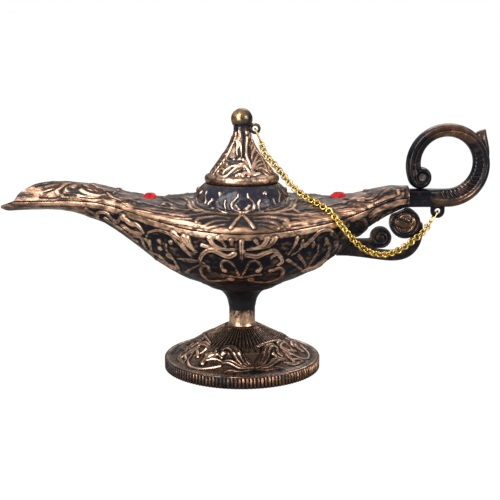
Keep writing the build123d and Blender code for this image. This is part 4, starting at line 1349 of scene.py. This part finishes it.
# Finial
# A cast ball on a short neck, with a side loop for the chain's first ring. Its stud goes down
# through the lid, where a nut holds it.
bend_rounds = 3
deepest_wear = -0.3
brightest_wear = 0.8
ball_bottom = 101 * MM
ball_pits = 0.06 * MM
# Way towards the key lamp, on the ball's upper left, where the highlight is painted
ball_highlight_way = np.array([-0.62, -0.45, 0.5])


def neighbour_mean(values, edges, count):
    """Mean of a value, or of a place, over each point's neighbours."""
    total = np.zeros_like(values)
    number = np.zeros(count)
    for a, b in (edges.T, edges.T[::-1]):
        np.add.at(total, a, values[b])
        np.add.at(number, a, 1)
    number = np.maximum(number, 1)
    return total / (number[:, None] if values.ndim > 1 else number)


def read_all(items, what, kind, width):
    """What each item of a mesh holds, as rows of an array."""
    values = np.empty(len(items) * width, kind)
    items.foreach_get(what, values)
    return values.reshape(-1, width)


def cast_copy(name, node, voxel, soften, material, body, carve=None, edge_wear=3.2):
    """Soft-edged casting in place of a node, rubbed along its edges."""
    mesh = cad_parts[node].data.copy()
    build = bmesh.new()
    build.from_mesh(mesh)
    bmesh.ops.remove_doubles(build, verts=build.verts, dist=0.001 * MM)
    build.to_mesh(mesh)
    build.free()
    piece = new_object(name, mesh)
    remesh = piece.modifiers.new("remesh", "REMESH")
    remesh.mode = "VOXEL"
    remesh.voxel_size = voxel
    smooth = piece.modifiers.new("soften", "SMOOTH")
    smooth.iterations = soften
    cast = evaluated(piece)
    piece.modifiers.clear()
    piece.data = cast
    count = len(cast.vertices)
    points = read_all(cast.vertices, "co", float, 3)
    normals = read_all(cast.vertices, "normal", float, 3)
    edges = read_all(cast.edges, "vertices", int, 2)
    bend = ((points - neighbour_mean(points, edges, count)) * normals).sum(1) / voxel
    for _ in range(bend_rounds):
        bend = neighbour_mean(bend, edges, count)
    values = np.clip(edge_wear * bend, deepest_wear, brightest_wear)
    if carve:
        faces = [tuple(face.vertices) for face in cast.polygons]
        depth, marks = carve(points, normals, BVHTree.FromPolygons(points, faces))
        points = points + normals * depth[:, None]
        values = values + marks
    cast.vertices.foreach_set("co", points.ravel())
    keep_relief(cast, values)
    cast.materials.clear()
    cast.materials.append(material)
    cast.shade_smooth()
    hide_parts(node)
    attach(piece, body)


def pitted_and_highlit(points, normals, tree):
    """Shallow unevenness of the cast ball, with a painted highlight on its upper left, towards the
    key lamp.
    """
    rubbed = normals @ ball_highlight_way
    ball = points[:, 2] > ball_bottom
    return ball_pits * waves(points, 3 * MM, 8), (0.75 * rubbed - 0.10) * ball


ball_metal = metal("ball_metal", (0.007, 0.006, 0.008), (0.72, 0.45, 0.22), lift=0.14,
                   break_size=300.0, break_depth=1.6, hollow_rough=0.14, patch_depth=0.5,
                   patch_size=130.0, sheen_level=0.5)
cast_copy("finial_ball", "lid_finial", 0.2 * MM, 6, ball_metal, "lid", pitted_and_highlit)
steel = metal("steel", (0.2, 0.2, 0.21), (0.6, 0.6, 0.62), lift=0.6)


def finish_node(node, finish):
    """A CAD piece whose shape is right gets its finish."""
    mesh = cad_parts[node].data
    mesh.materials.clear()
    mesh.materials.append(finish)


for node in ("finial_nut", "foot_washer", "foot_bolt"):
    finish_node(node, steel)


# Handle
# A cast ring to hang a finger in: a rolled outer edge and a flat inner band with a raised line
# between, engraved at the lower right. It ends in a curl, and the roll peels off as a thumb leaf.
handle_low, handle_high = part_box("handle")
stud_low, stud_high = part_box("curl_stud")
ring_radius = 17.1 * MM
ring_centre = np.array([handle_high.x - ring_radius, handle_low.z + ring_radius])
hole_radius = 10.6 * MM
hole_centre = ring_centre + np.array([-0.4, 1.1]) * MM
shank_start = tail_reach - 0.5 * MM
shank_rise = 7.5 * MM
plain_end = 77.0 * MM
carved_start = 80.5 * MM
curl_centre = np.array([(stud_low.x + stud_high.x) / 2, (stud_low.z + stud_high.z) / 2])
ring_end_turn = 200.0
curl_start_turn = 194.0
curl_end_turn = 475.0
curl_turns_at = (194, 270, 360, 450, 475)
curl_reaches_at = (5.45, 5.10, 4.25, 3.75, 3.35)
band_depth = 2.3
line_depth = 0.5
roll_depth = 3.35
plain_depth = 3.3
line_offset = -0.03
line_width = 0.035
raised_line_highlight_width = 0.03
roll_middle = 0.42
vein_pitch = 1.9 * MM
vein_slant = 1.3
vein_depth = 0.28
vein_start = 0.16
vein_end = 0.9
# Where in its pitch the engraved line and the painted highlight on the lip beside it stand, and
# their widths
vein_middle = 0.5
vein_half_width = 0.13
vein_highlight_middle = 0.72
vein_highlight_half_width = 0.08
shank_rows = 55
ring_rows = 290
curl_rows = 120
disc_rows = 40
section_steps = 34
section_shares = 0.5 - 0.5 * np.cos(np.linspace(0, math.pi, section_steps))
# Turns round the ring in degrees, -90 for the shank and curl_mark for the curl, and what the
# bar has there: the share of its width where the roll starts, and how rubbed it is
curl_mark = 205.0
line_turns_at = (-90, 0, 45, 90, 200, curl_mark)
line_shares_at = (0.62, 0.66, 0.62, 0.46, 0.48, 0.5)
rub_turns_at = (-90, -60, -20, 20, 50, 80, 110, 140, 185, curl_mark)
rubs_at = (0.30, 0.52, 0.16, -0.05, 0.40, 0.64, 0.40, -0.12, 0.14, -0.04)


def towards(turn):
    """Direction in the handle's plane at a turn in degrees."""
    turn = np.radians(turn)
    return np.stack([np.cos(turn), np.sin(turn)], axis=-1)


def plane_places(reaches, heights):
    """Places in the handle's plane; one number may stand for all reaches' heights."""
    return np.stack([reaches, np.broadcast_to(heights, reaches.shape)], axis=1)


def rolled_section(line):
    """Half depth in mm across the ring, from its hole to its outer edge, with line the share
    where the flat band ends and the roll starts."""
    share = section_shares[None, :]
    line = line[:, None]
    edge = np.sqrt(1 - (1 - np.clip(share / 0.2, 0, 1)) ** 2)
    band = (band_depth + 0.3 * share / line) * edge
    ridge = line_depth * soft_mark(share, line + line_offset, line_width)
    on_roll = np.clip((share - line) / (1 - line), 0, 1)
    off_roll = (on_roll - roll_middle) / (1 - roll_middle)
    roll = roll_depth * np.sqrt(np.clip(1 - off_roll ** 2, 0, 1))
    return np.where(share < line, band + ridge, roll)


def plain_section(rows):
    """Half depth in mm across the shank: a plate with round edges."""
    off = np.abs(2 * section_shares - 1)[None, :]
    return plain_depth * (1 - off ** 6) ** (1 / 3) * np.ones((rows, 1))


def swept_plate(inner, outer, depth, value):
    """Closed plate across the lamp, one row of places for each step along the handle."""
    flat = inner[:, None, :] + section_shares[None, :, None] * (outer - inner)[:, None, :]
    front = np.stack([flat[..., 0], -depth * MM, flat[..., 1]], axis=2)
    back = np.stack([flat[..., 0], depth * MM, flat[..., 1]], axis=2)[:, -2:0:-1]
    rows = np.concatenate([front, back], axis=1)
    values = np.concatenate([value, value[:, -2:0:-1]], axis=1)
    count = rows.shape[1]
    faces = grid_faces(len(rows), count, closed=True)
    faces.append(tuple(range(count)))
    faces.append(tuple(range((len(rows) - 1) * count, len(rows) * count)))
    return rows.reshape(-1, 3), faces, values.ravel()


def joined(name, plates, material):
    """One mesh from several closed plates that run into each other."""
    points = []
    faces = []
    values = []
    for more_points, more_faces, more_values in plates:
        first = len(points)
        points += list(more_points)
        faces += [tuple(first + number for number in face) for face in more_faces]
        values += list(more_values)
    return face_out(mesh_of(name, points, faces, material, values))


# The bar from the tail, round the ring and into the curl, as rows of two places each
shank_reaches = np.linspace(shank_start, ring_centre[0], shank_rows + 1)[:-1]
shank_outer = plane_places(shank_reaches, ring_centre[1] - ring_radius)
shank_inner = plane_places(shank_reaches, handle_low.z + shank_rise)
drop = np.clip((shank_reaches - plain_end) / (ring_centre[0] - plain_end), 0, 1)
shank_inner[:, 1] += drop * (hole_centre[1] - hole_radius - handle_low.z - shank_rise)
ring_turns = np.linspace(-90, ring_end_turn, ring_rows)
ring_outer = ring_centre + ring_radius * towards(ring_turns)
ring_inner = hole_centre + hole_radius * towards(ring_turns)
curl_turns = np.linspace(curl_start_turn, curl_end_turn, curl_rows)
curl_reach = np.interp(curl_turns, curl_turns_at, curl_reaches_at) * MM
curl_outer = curl_centre + curl_reach[:, None] * towards(curl_turns)
settle = np.clip((curl_turns - curl_start_turn) / 40, 0, 1)[:, None]
curl_inner = ring_inner[-1] + (curl_centre - ring_inner[-1]) * settle
bar_outer = np.vstack([shank_outer, ring_outer, curl_outer])
bar_inner = np.vstack([shank_inner, ring_inner, curl_inner])
bar_turns = np.concatenate([np.full(shank_rows, -90.0), ring_turns, np.full(curl_rows, curl_mark)])
bar_line = np.interp(bar_turns, line_turns_at, line_shares_at)
carved = np.concatenate([np.clip((shank_reaches - plain_end) / (carved_start - plain_end), 0, 1),
                         np.ones(ring_rows + curl_rows)])[:, None]
bar_depth = plain_section(len(bar_turns)) * (1 - carved) + rolled_section(bar_line) * carved
bar_run = run_along((bar_outer + bar_inner) / 2)
veined = np.interp(bar_turns, (-90, -88, 15, 28), (0, 1, 1, 0))
veined[:shank_rows] = np.clip((shank_reaches - carved_start) / (1 * MM), 0, 1)
on_band = section_shares[None, :] / bar_line[:, None]
vein_phase = (bar_run / vein_pitch)[:, None] - vein_slant * on_band ** 2
vein_mark = soft_mark(vein_phase % 1, vein_middle, vein_half_width) * veined[:, None]
vein_mark *= (on_band > vein_start) & (on_band < vein_end)
bar_depth = bar_depth - vein_depth * vein_mark
bar_rub = np.interp(bar_turns, rub_turns_at, rubs_at)
bar_rub[:shank_rows] *= carved[:shank_rows, 0]
raised_line_highlight = soft_mark(section_shares[None, :], bar_line[:, None] + line_offset, raised_line_highlight_width)
raised_line_highlight = raised_line_highlight * carved
# The raised line is worn bright and also carries a painted highlight; the lip beside each engraved
# vein carries a painted highlight
bar_value = bar_rub[:, None] + 0.45 * raised_line_highlight - 0.25 * vein_mark
vein_highlight = soft_mark(vein_phase % 1, vein_highlight_middle, vein_highlight_half_width) * veined[:, None]
bar_value = bar_value + (0.55 * vein_highlight - 0.28 * veined[:, None]) * (on_band < vein_end)

# The curl's face and the thumb leaf
disc_radius = 3.9 * MM
disc_steps = np.linspace(0.02, math.pi - 0.02, disc_rows)
disc_reaches = curl_centre[0] - disc_radius * np.cos(disc_steps)
disc_rise = disc_radius * np.sin(disc_steps)
disc_inner = plane_places(disc_reaches, curl_centre[1] - disc_rise)
disc_outer = plane_places(disc_reaches, curl_centre[1] + disc_rise)
disc_depth_share = 0.68
disc_depth = plain_section(disc_rows) * disc_depth_share
# Turn in degrees, and how far from the ring's centre in mm
leaf_outer_at = ((5, 16.6), (14, 17.3), (22, 17.9), (29, 18.5), (35, 19.2), (40, 20.0), (44, 20.9))
leaf_inner_at = ((2, 13.4), (14, 13.8), (30, 14.6), (44, 15.8), (50, 16.8), (49, 18.8),
                 (45.5, 20.7))
leaf_depth_at = (1.6, 2.6, 3.1, 3.1, 2.6, 1.7, 0.5)
leaf_outer = smooth_line([ring_centre + r * MM * towards(t) for t, r in leaf_outer_at], 8)
leaf_inner = smooth_line([ring_centre + r * MM * towards(t) for t, r in leaf_inner_at], 8)
leaf_depth = smooth_line([(d, 0) for d in leaf_depth_at], 8)[:, :1]
round_share = np.sqrt(np.clip(1 - np.abs(2 * section_shares - 1) ** 2.5, 0, 1))[None, :]
leaf_rub = 0.05 + 0.50 * np.linspace(0, 1, len(leaf_outer))[:, None]
leaf_value = leaf_rub * np.ones((1, section_steps))
handle_metal = metal("handle_metal", (0.003, 0.003, 0.005), (0.46, 0.26, 0.16),
                     hollow_rough=0.16, ridge_rough=0.30, break_size=300.0, break_depth=1.1,
                     patch_size=110.0, patch_depth=0.7, sheen_level=0.22)
handle_mesh = joined("handle_ring_bar", (
    swept_plate(bar_inner, bar_outer, bar_depth, bar_value),
    swept_plate(disc_inner, disc_outer, disc_depth, np.zeros((disc_rows, section_steps))),
    swept_plate(leaf_inner, leaf_outer, leaf_depth * round_share, leaf_value)), handle_metal)
handle = new_object("handle_ring_bar", handle_mesh)
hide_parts("handle")
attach(handle, "root")
finish_node("curl_stud", metal("stud_metal", (0.02, 0.018, 0.016), (0.42, 0.36, 0.31), lift=0.68,
                               hollow_rough=0.12, ridge_rough=0.16))


# Chain eye
# A small cast plate let into the underside of the handle, with a hole for the chain's last ring.
cast_copy("chain_eye_plate", "chain_eye", 0.12 * MM, 4, handle_metal, "root")


# Scroll bracket
# A cast S-scroll under the tail: a large disc with a swirl in it, a long bar below and a small
# scroll that holds up the tail from the front.
swirl_strokes = (
    (2.6, 1.6, (262, 1060), (300, 1090), (350, 1104), (405, 1130), (440, 1095), (425, 1040),
     (370, 1018), (335, 1030)),
    (2.0, 1.4, (300, 1170), (350, 1190), (410, 1180)),
)
scroll_reach = 0.988 * tail_reach
scroll_rise = 61.6 * MM
scroll_radius = 5.9 * MM
scroll_face_radius = 4.7 * MM
bracket_half_depth = 2.5 * MM
swirl_dome = 0.5 * MM
swirl_depth = 0.5 * MM


def swirled(points, normals, tree):
    """Domed face with a swirl on both sides of the large disc, inside a plain round rim."""
    front = points.copy()
    front[:, 1] = -np.abs(points[:, 1])
    facing = np.abs(normals[:, 1]) > 0.4
    off = np.hypot(points[:, 0] - scroll_reach, points[:, 2] - scroll_rise)
    disc = (off < scroll_radius) & (np.abs(points[:, 1]) > 1.2 * MM)
    inner = np.clip(1 - off / scroll_face_radius, 0, 1)
    grooves, _ = relief_over(front * (1, 0, 1), [
        (line * (1, 0, 1), half) for line, half in trace(tree, tail_view, swirl_strokes)])
    mark = np.clip(grooves / (0.4 * MM), 0, 1) * (inner > 0)
    rim_groove = soft_mark(off, scroll_face_radius, 0.3 * MM)
    face = bracket_half_depth + swirl_dome * inner ** 0.5 - swirl_depth * (rim_groove + mark)
    depth = np.where(disc, (face - np.abs(points[:, 1])) * np.abs(normals[:, 1]), 0)
    rub = 0.42 * np.clip(inner * 6, 0, 1) - 0.5 * mark - 0.4 * rim_groove
    return depth, np.where(disc & facing, rub, 0.05)


cast_copy("scroll_bracket_cast", "scroll_bracket", 0.26 * MM, 5, handle_metal,
          "root", swirled)


# Red stones
# Two faceted stones of red glass, one before and one behind the neck, each pressed into a thin
# copper setting on the crown of the upper shell.
# Radius and height of each ring of corners, as shares, and the part of a corner it is turned by
stone_rings = ((0.78, 0.0, 0.0), (1.0, 0.24, 0.0), (1.0, 0.36, 0.0), (0.80, 0.70, 0.5),
               (0.50, 1.0, 0.0))
stone_sides = 8
stone_swell = 1.12
red_glass = bpy.data.materials.new("red_glass")
red_glass.use_nodes = True
stone_tree = red_glass.node_tree
stone_place = add_node(stone_tree, "ShaderNodeTexCoord").outputs["Object"]
stone_cloud = add_node(stone_tree, "ShaderNodeTexNoise", {"Vector": stone_place, "Scale": 380.0})
stone_colours = add_node(stone_tree, "ShaderNodeValToRGB", {"Fac": stone_cloud.outputs["Fac"]})
dark_red, bright_red = stone_colours.color_ramp.elements
dark_red.position = 0.35
dark_red.color = (0.22, 0.0, 0.002, 1)
bright_red.position = 0.6
bright_red.color = (0.62, 0.003, 0.007, 1)
set_inputs(stone_tree, stone_tree.nodes["Principled BSDF"], {
    "Base Color": stone_colours.outputs["Color"], "Roughness": 0.14, "Specular IOR Level": 0.3})


def cut_stone(name, node):
    """Stone with a flat table and two rows of facets."""
    low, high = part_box(node)
    middle = (low.x + high.x) / 2
    radius = (high.x - low.x) / 2 * stone_swell
    build = bmesh.new()
    for share, up, half_turn in stone_rings:
        for number in range(stone_sides):
            turn = 2 * math.pi * (number + half_turn + 0.5) / stone_sides
            build.verts.new((middle + radius * share * math.cos(turn),
                             radius * share * math.sin(turn), low.z + up * (high.z - low.z)))
    bmesh.ops.convex_hull(build, input=build.verts)
    bmesh.ops.recalc_face_normals(build, faces=build.faces)
    mesh = bpy.data.meshes.new(name)
    build.to_mesh(mesh)
    build.free()
    mesh.materials.append(red_glass)
    piece = new_object(name, mesh)
    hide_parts(node)
    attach(piece, "root")


cut_stone("spout_stone", "spout_gem")
cut_stone("tail_stone", "tail_gem")
for side in ("spout", "tail"):
    cast_copy(side + "_stone_setting", side + "_gem_setting", 0.15 * MM, 2, body_metal,
              "root")


# Chain
# 62 gilt links of bent wire, each turned against the next, hanging slack from the ring on the
# lid's loop round the front of the body to the ring in the handle's eye.
chain_links = 62
link_length = 3.12 * MM
link_width = 3.0 * MM
link_wire = 0.74 * MM
link_lay = math.radians(36)
lid_hook = np.array([5.4, 0.0, 99.9]) * MM
eye_hook = np.array([80.59, 0.0, 66.11]) * MM
lid_ring_pull = np.array([0.393, -0.055, -0.918])
end_ring_pull = np.array([-0.530, -0.275, -0.800])
lid_ring_run = 6.3 * MM
end_ring_run = 6.2 * MM
chain_end_margin = 0.5 * MM
chain_route_points = 240
# How far out towards the eye, how far to the side against the body's half width, and how high
# between the eye at 0 and the lid's loop at 1
chain_hang_shares = (
    (0.116, -0.015, 0.702), (0.156, -0.043, 0.592), (0.204, -0.085, 0.462),
    (0.247, -0.155, 0.341), (0.292, -0.255, 0.255), (0.337, -0.370, 0.196),
    (0.384, -0.490, 0.145), (0.435, -0.602, 0.066), (0.485, -0.640, -0.079),
    (0.524, -0.624, -0.191), (0.567, -0.575, -0.306), (0.614, -0.508, -0.392),
    (0.670, -0.428, -0.454), (0.725, -0.352, -0.472), (0.782, -0.284, -0.445),
    (0.840, -0.226, -0.374), (0.888, -0.180, -0.295), (0.920, -0.142, -0.240),
)
chain_start = lid_hook + lid_ring_pull * lid_ring_run / np.linalg.norm(lid_ring_pull)
chain_end = eye_hook + end_ring_pull * end_ring_run / np.linalg.norm(end_ring_pull)
chain_hang = [(out * eye_hook[0], aside * body_half_width,
               eye_hook[2] + up * (lid_hook[2] - eye_hook[2]))
              for out, aside, up in chain_hang_shares]
chain_route = smooth_line([tuple(chain_start), *chain_hang, tuple(chain_end)], 14)
chain_route = spaced(chain_route, chain_route_points, chain_end_margin)
route_steps = [(i, i + 1) for i in range(chain_route_points - 1)]
chain_seed = bpy.data.meshes.new("chain_route")
chain_seed.from_pydata([tuple(p) for p in chain_route], route_steps, [])
gilt = metal("gilt", (0.18, 0.10, 0.015), (0.90, 0.63, 0.17), lift=0.72, ridge_rough=0.2,
             hollow_rough=0.25, break_depth=0.5, sheen_level=0.5)
chain_tree, chain_sockets, chain_in, chain_out = node_tree("chain_links", (
    ("Count", "NodeSocketInt"), ("Length", "NodeSocketFloat"), ("Width", "NodeSocketFloat"),
    ("Wire", "NodeSocketFloat"), ("Lay", "NodeSocketFloat")))
route_curve = add_node(chain_tree, "GeometryNodeMeshToCurve", {
    "Mesh": chain_in.outputs["Geometry"]})
upright = add_node(chain_tree, "GeometryNodeSetCurveNormal", {
    "Curve": route_curve.outputs["Curve"]})
upright.mode = "Z_UP"
spots = add_node(chain_tree, "GeometryNodeCurveToPoints", {
    "Curve": upright.outputs["Curve"], "Count": chain_in.outputs["Count"]})
spots.mode = "COUNT"

# Each link lies along the route, turned one way and the next one the other way
ahead = add_node(chain_tree, "FunctionNodeAlignRotationToVector", {
    "Vector": spots.outputs["Tangent"]})
ahead.axis = "X"
aside = add_node(chain_tree, "FunctionNodeAlignRotationToVector", {
    "Rotation": ahead.outputs["Rotation"], "Vector": spots.outputs["Normal"]})
aside.axis = "Z"
aside.pivot_axis = "X"
number = add_node(chain_tree, "GeometryNodeInputIndex")
odd = add_sum(chain_tree, "MODULO", number.outputs["Index"], 2)
way = add_sum(chain_tree, "SUBTRACT", add_sum(chain_tree, "MULTIPLY", odd, 2), 1)
lay_angle = add_sum(chain_tree, "MULTIPLY", way, chain_in.outputs["Lay"])
lay_turn = add_node(chain_tree, "ShaderNodeCombineXYZ", {"X": lay_angle})
lay_rotation = add_node(chain_tree, "FunctionNodeEulerToRotation", {
    "Euler": lay_turn.outputs["Vector"]})
laid = add_node(chain_tree, "FunctionNodeRotateRotation", {
    "Rotation": aside.outputs["Rotation"], "Rotate By": lay_rotation.outputs["Rotation"]})
laid.rotation_space = "LOCAL"

# A link is a circle drawn out to its length and width, with round wire along it
loop = add_node(chain_tree, "GeometryNodeCurvePrimitiveCircle", {"Resolution": 14, "Radius": 0.5})
wire = chain_in.outputs["Wire"]
loop_size = add_node(chain_tree, "ShaderNodeCombineXYZ", {
    "X": add_sum(chain_tree, "SUBTRACT", chain_in.outputs["Length"], wire),
    "Y": add_sum(chain_tree, "SUBTRACT", chain_in.outputs["Width"], wire), "Z": 1})
sized = add_node(chain_tree, "GeometryNodeTransform", {
    "Geometry": loop.outputs["Curve"], "Scale": loop_size.outputs["Vector"]})
wire_round = add_node(chain_tree, "GeometryNodeCurvePrimitiveCircle", {
    "Resolution": 6, "Radius": add_sum(chain_tree, "MULTIPLY", wire, 0.5)})
bent = add_node(chain_tree, "GeometryNodeCurveToMesh", {
    "Curve": sized.outputs["Geometry"], "Profile Curve": wire_round.outputs["Curve"]})
strung = add_node(chain_tree, "GeometryNodeInstanceOnPoints", {
    "Points": spots.outputs["Points"], "Instance": bent.outputs["Mesh"],
    "Rotation": laid.outputs["Rotation"]})
finish_tree(chain_tree, strung.outputs["Instances"], gilt, chain_out)
chain_mesh = grown("lid_chain", chain_seed, chain_tree, chain_sockets, {
    "Count": chain_links, "Length": link_length, "Width": link_width, "Wire": link_wire,
    "Lay": link_lay})
chain = new_object("lid_chain", chain_mesh)
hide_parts("chain")
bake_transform(chain)
finish_node("lid_ring", gilt)
finish_node("handle_ring", gilt)


# Floor and light
# A floor shown white and without an edge in view, a sky brighter above than at the horizon,
# and four soft lights: from the upper left, from the right, low from the left and from behind.
floor_mesh = mesh_of("floor", [(-4, -4, 0), (4, -4, 0), (4, 4, 0), (-4, 4, 0)], [(0, 1, 2, 3)])
floor = new_object("floor", floor_mesh)
floor_paint = bpy.data.materials.new("floor_paint")
floor_paint.use_nodes = True
floor_tree = floor_paint.node_tree
paint = floor_tree.nodes["Principled BSDF"]
set_inputs(floor_tree, paint, {"Base Color": (0.30, 0.30, 0.30, 1), "Roughness": 0.6})
glow = add_node(floor_tree, "ShaderNodeEmission", {"Color": (1, 1, 1, 1), "Strength": 1.08})
seen = add_node(floor_tree, "ShaderNodeLightPath").outputs["Is Camera Ray"]
shown = add_sum(floor_tree, "MULTIPLY", seen, 0.94)
floor_mix = add_node(floor_tree, "ShaderNodeMixShader", {
    0: shown, 1: paint.outputs[0], 2: glow.outputs[0]})
set_inputs(floor_tree, floor_tree.nodes["Material Output"], {"Surface": floor_mix.outputs[0]})
floor_mesh.materials.append(floor_paint)

world = bpy.data.worlds.new("studio")
bpy.context.scene.world = world
world.use_nodes = True
sky_tree = world.node_tree
sky = sky_tree.nodes["Background"]
sky_way = add_node(sky_tree, "ShaderNodeTexCoord").outputs["Generated"]
sky_split = add_node(sky_tree, "ShaderNodeSeparateXYZ", {0: sky_way})
sky_level = add_node(sky_tree, "ShaderNodeMapRange", {
    "Value": sky_split.outputs["Z"], "From Min": 0.1, "From Max": 0.9,
    "To Min": 0.10, "To Max": 0.95})
set_inputs(sky_tree, sky, {"Color": (1, 1, 1, 1), "Strength": sky_level.outputs["Result"]})
white = add_node(sky_tree, "ShaderNodeBackground", {"Color": (1, 1, 1, 1), "Strength": 1.0})
sky_seen = add_node(sky_tree, "ShaderNodeLightPath").outputs["Is Camera Ray"]
sky_mix = add_node(sky_tree, "ShaderNodeMixShader", {
    0: sky_seen, 1: sky.outputs[0], 2: white.outputs[0]})
set_inputs(sky_tree, sky_tree.nodes["World Output"], {"Surface": sky_mix.outputs[0]})
lit_place = Vector((0, 0, 0.06))
for name, place, size, power in (
        ("key", (-0.35, -0.45, 0.6), 0.5, 7.0),
        ("fill", (0.6, -0.4, 0.3), 0.4, 3.2),
        ("low", (-0.40, -0.55, 0.10), 0.3, 2.6),
        ("back", (0.1, 0.6, 0.6), 0.5, 1.5)):
    lamp_data = bpy.data.lights.new(name, "AREA")
    lamp_data.size = size
    lamp_data.energy = power
    lamp = bpy.data.objects.new(name, lamp_data)
    lamp.location = place
    ray = lit_place - Vector(place)
    lamp.rotation_euler = ray.to_track_quat("-Z", "Y").to_euler()
    bpy.context.scene.collection.objects.link(lamp)

bpy.context.scene.view_settings.view_transform = "Standard"
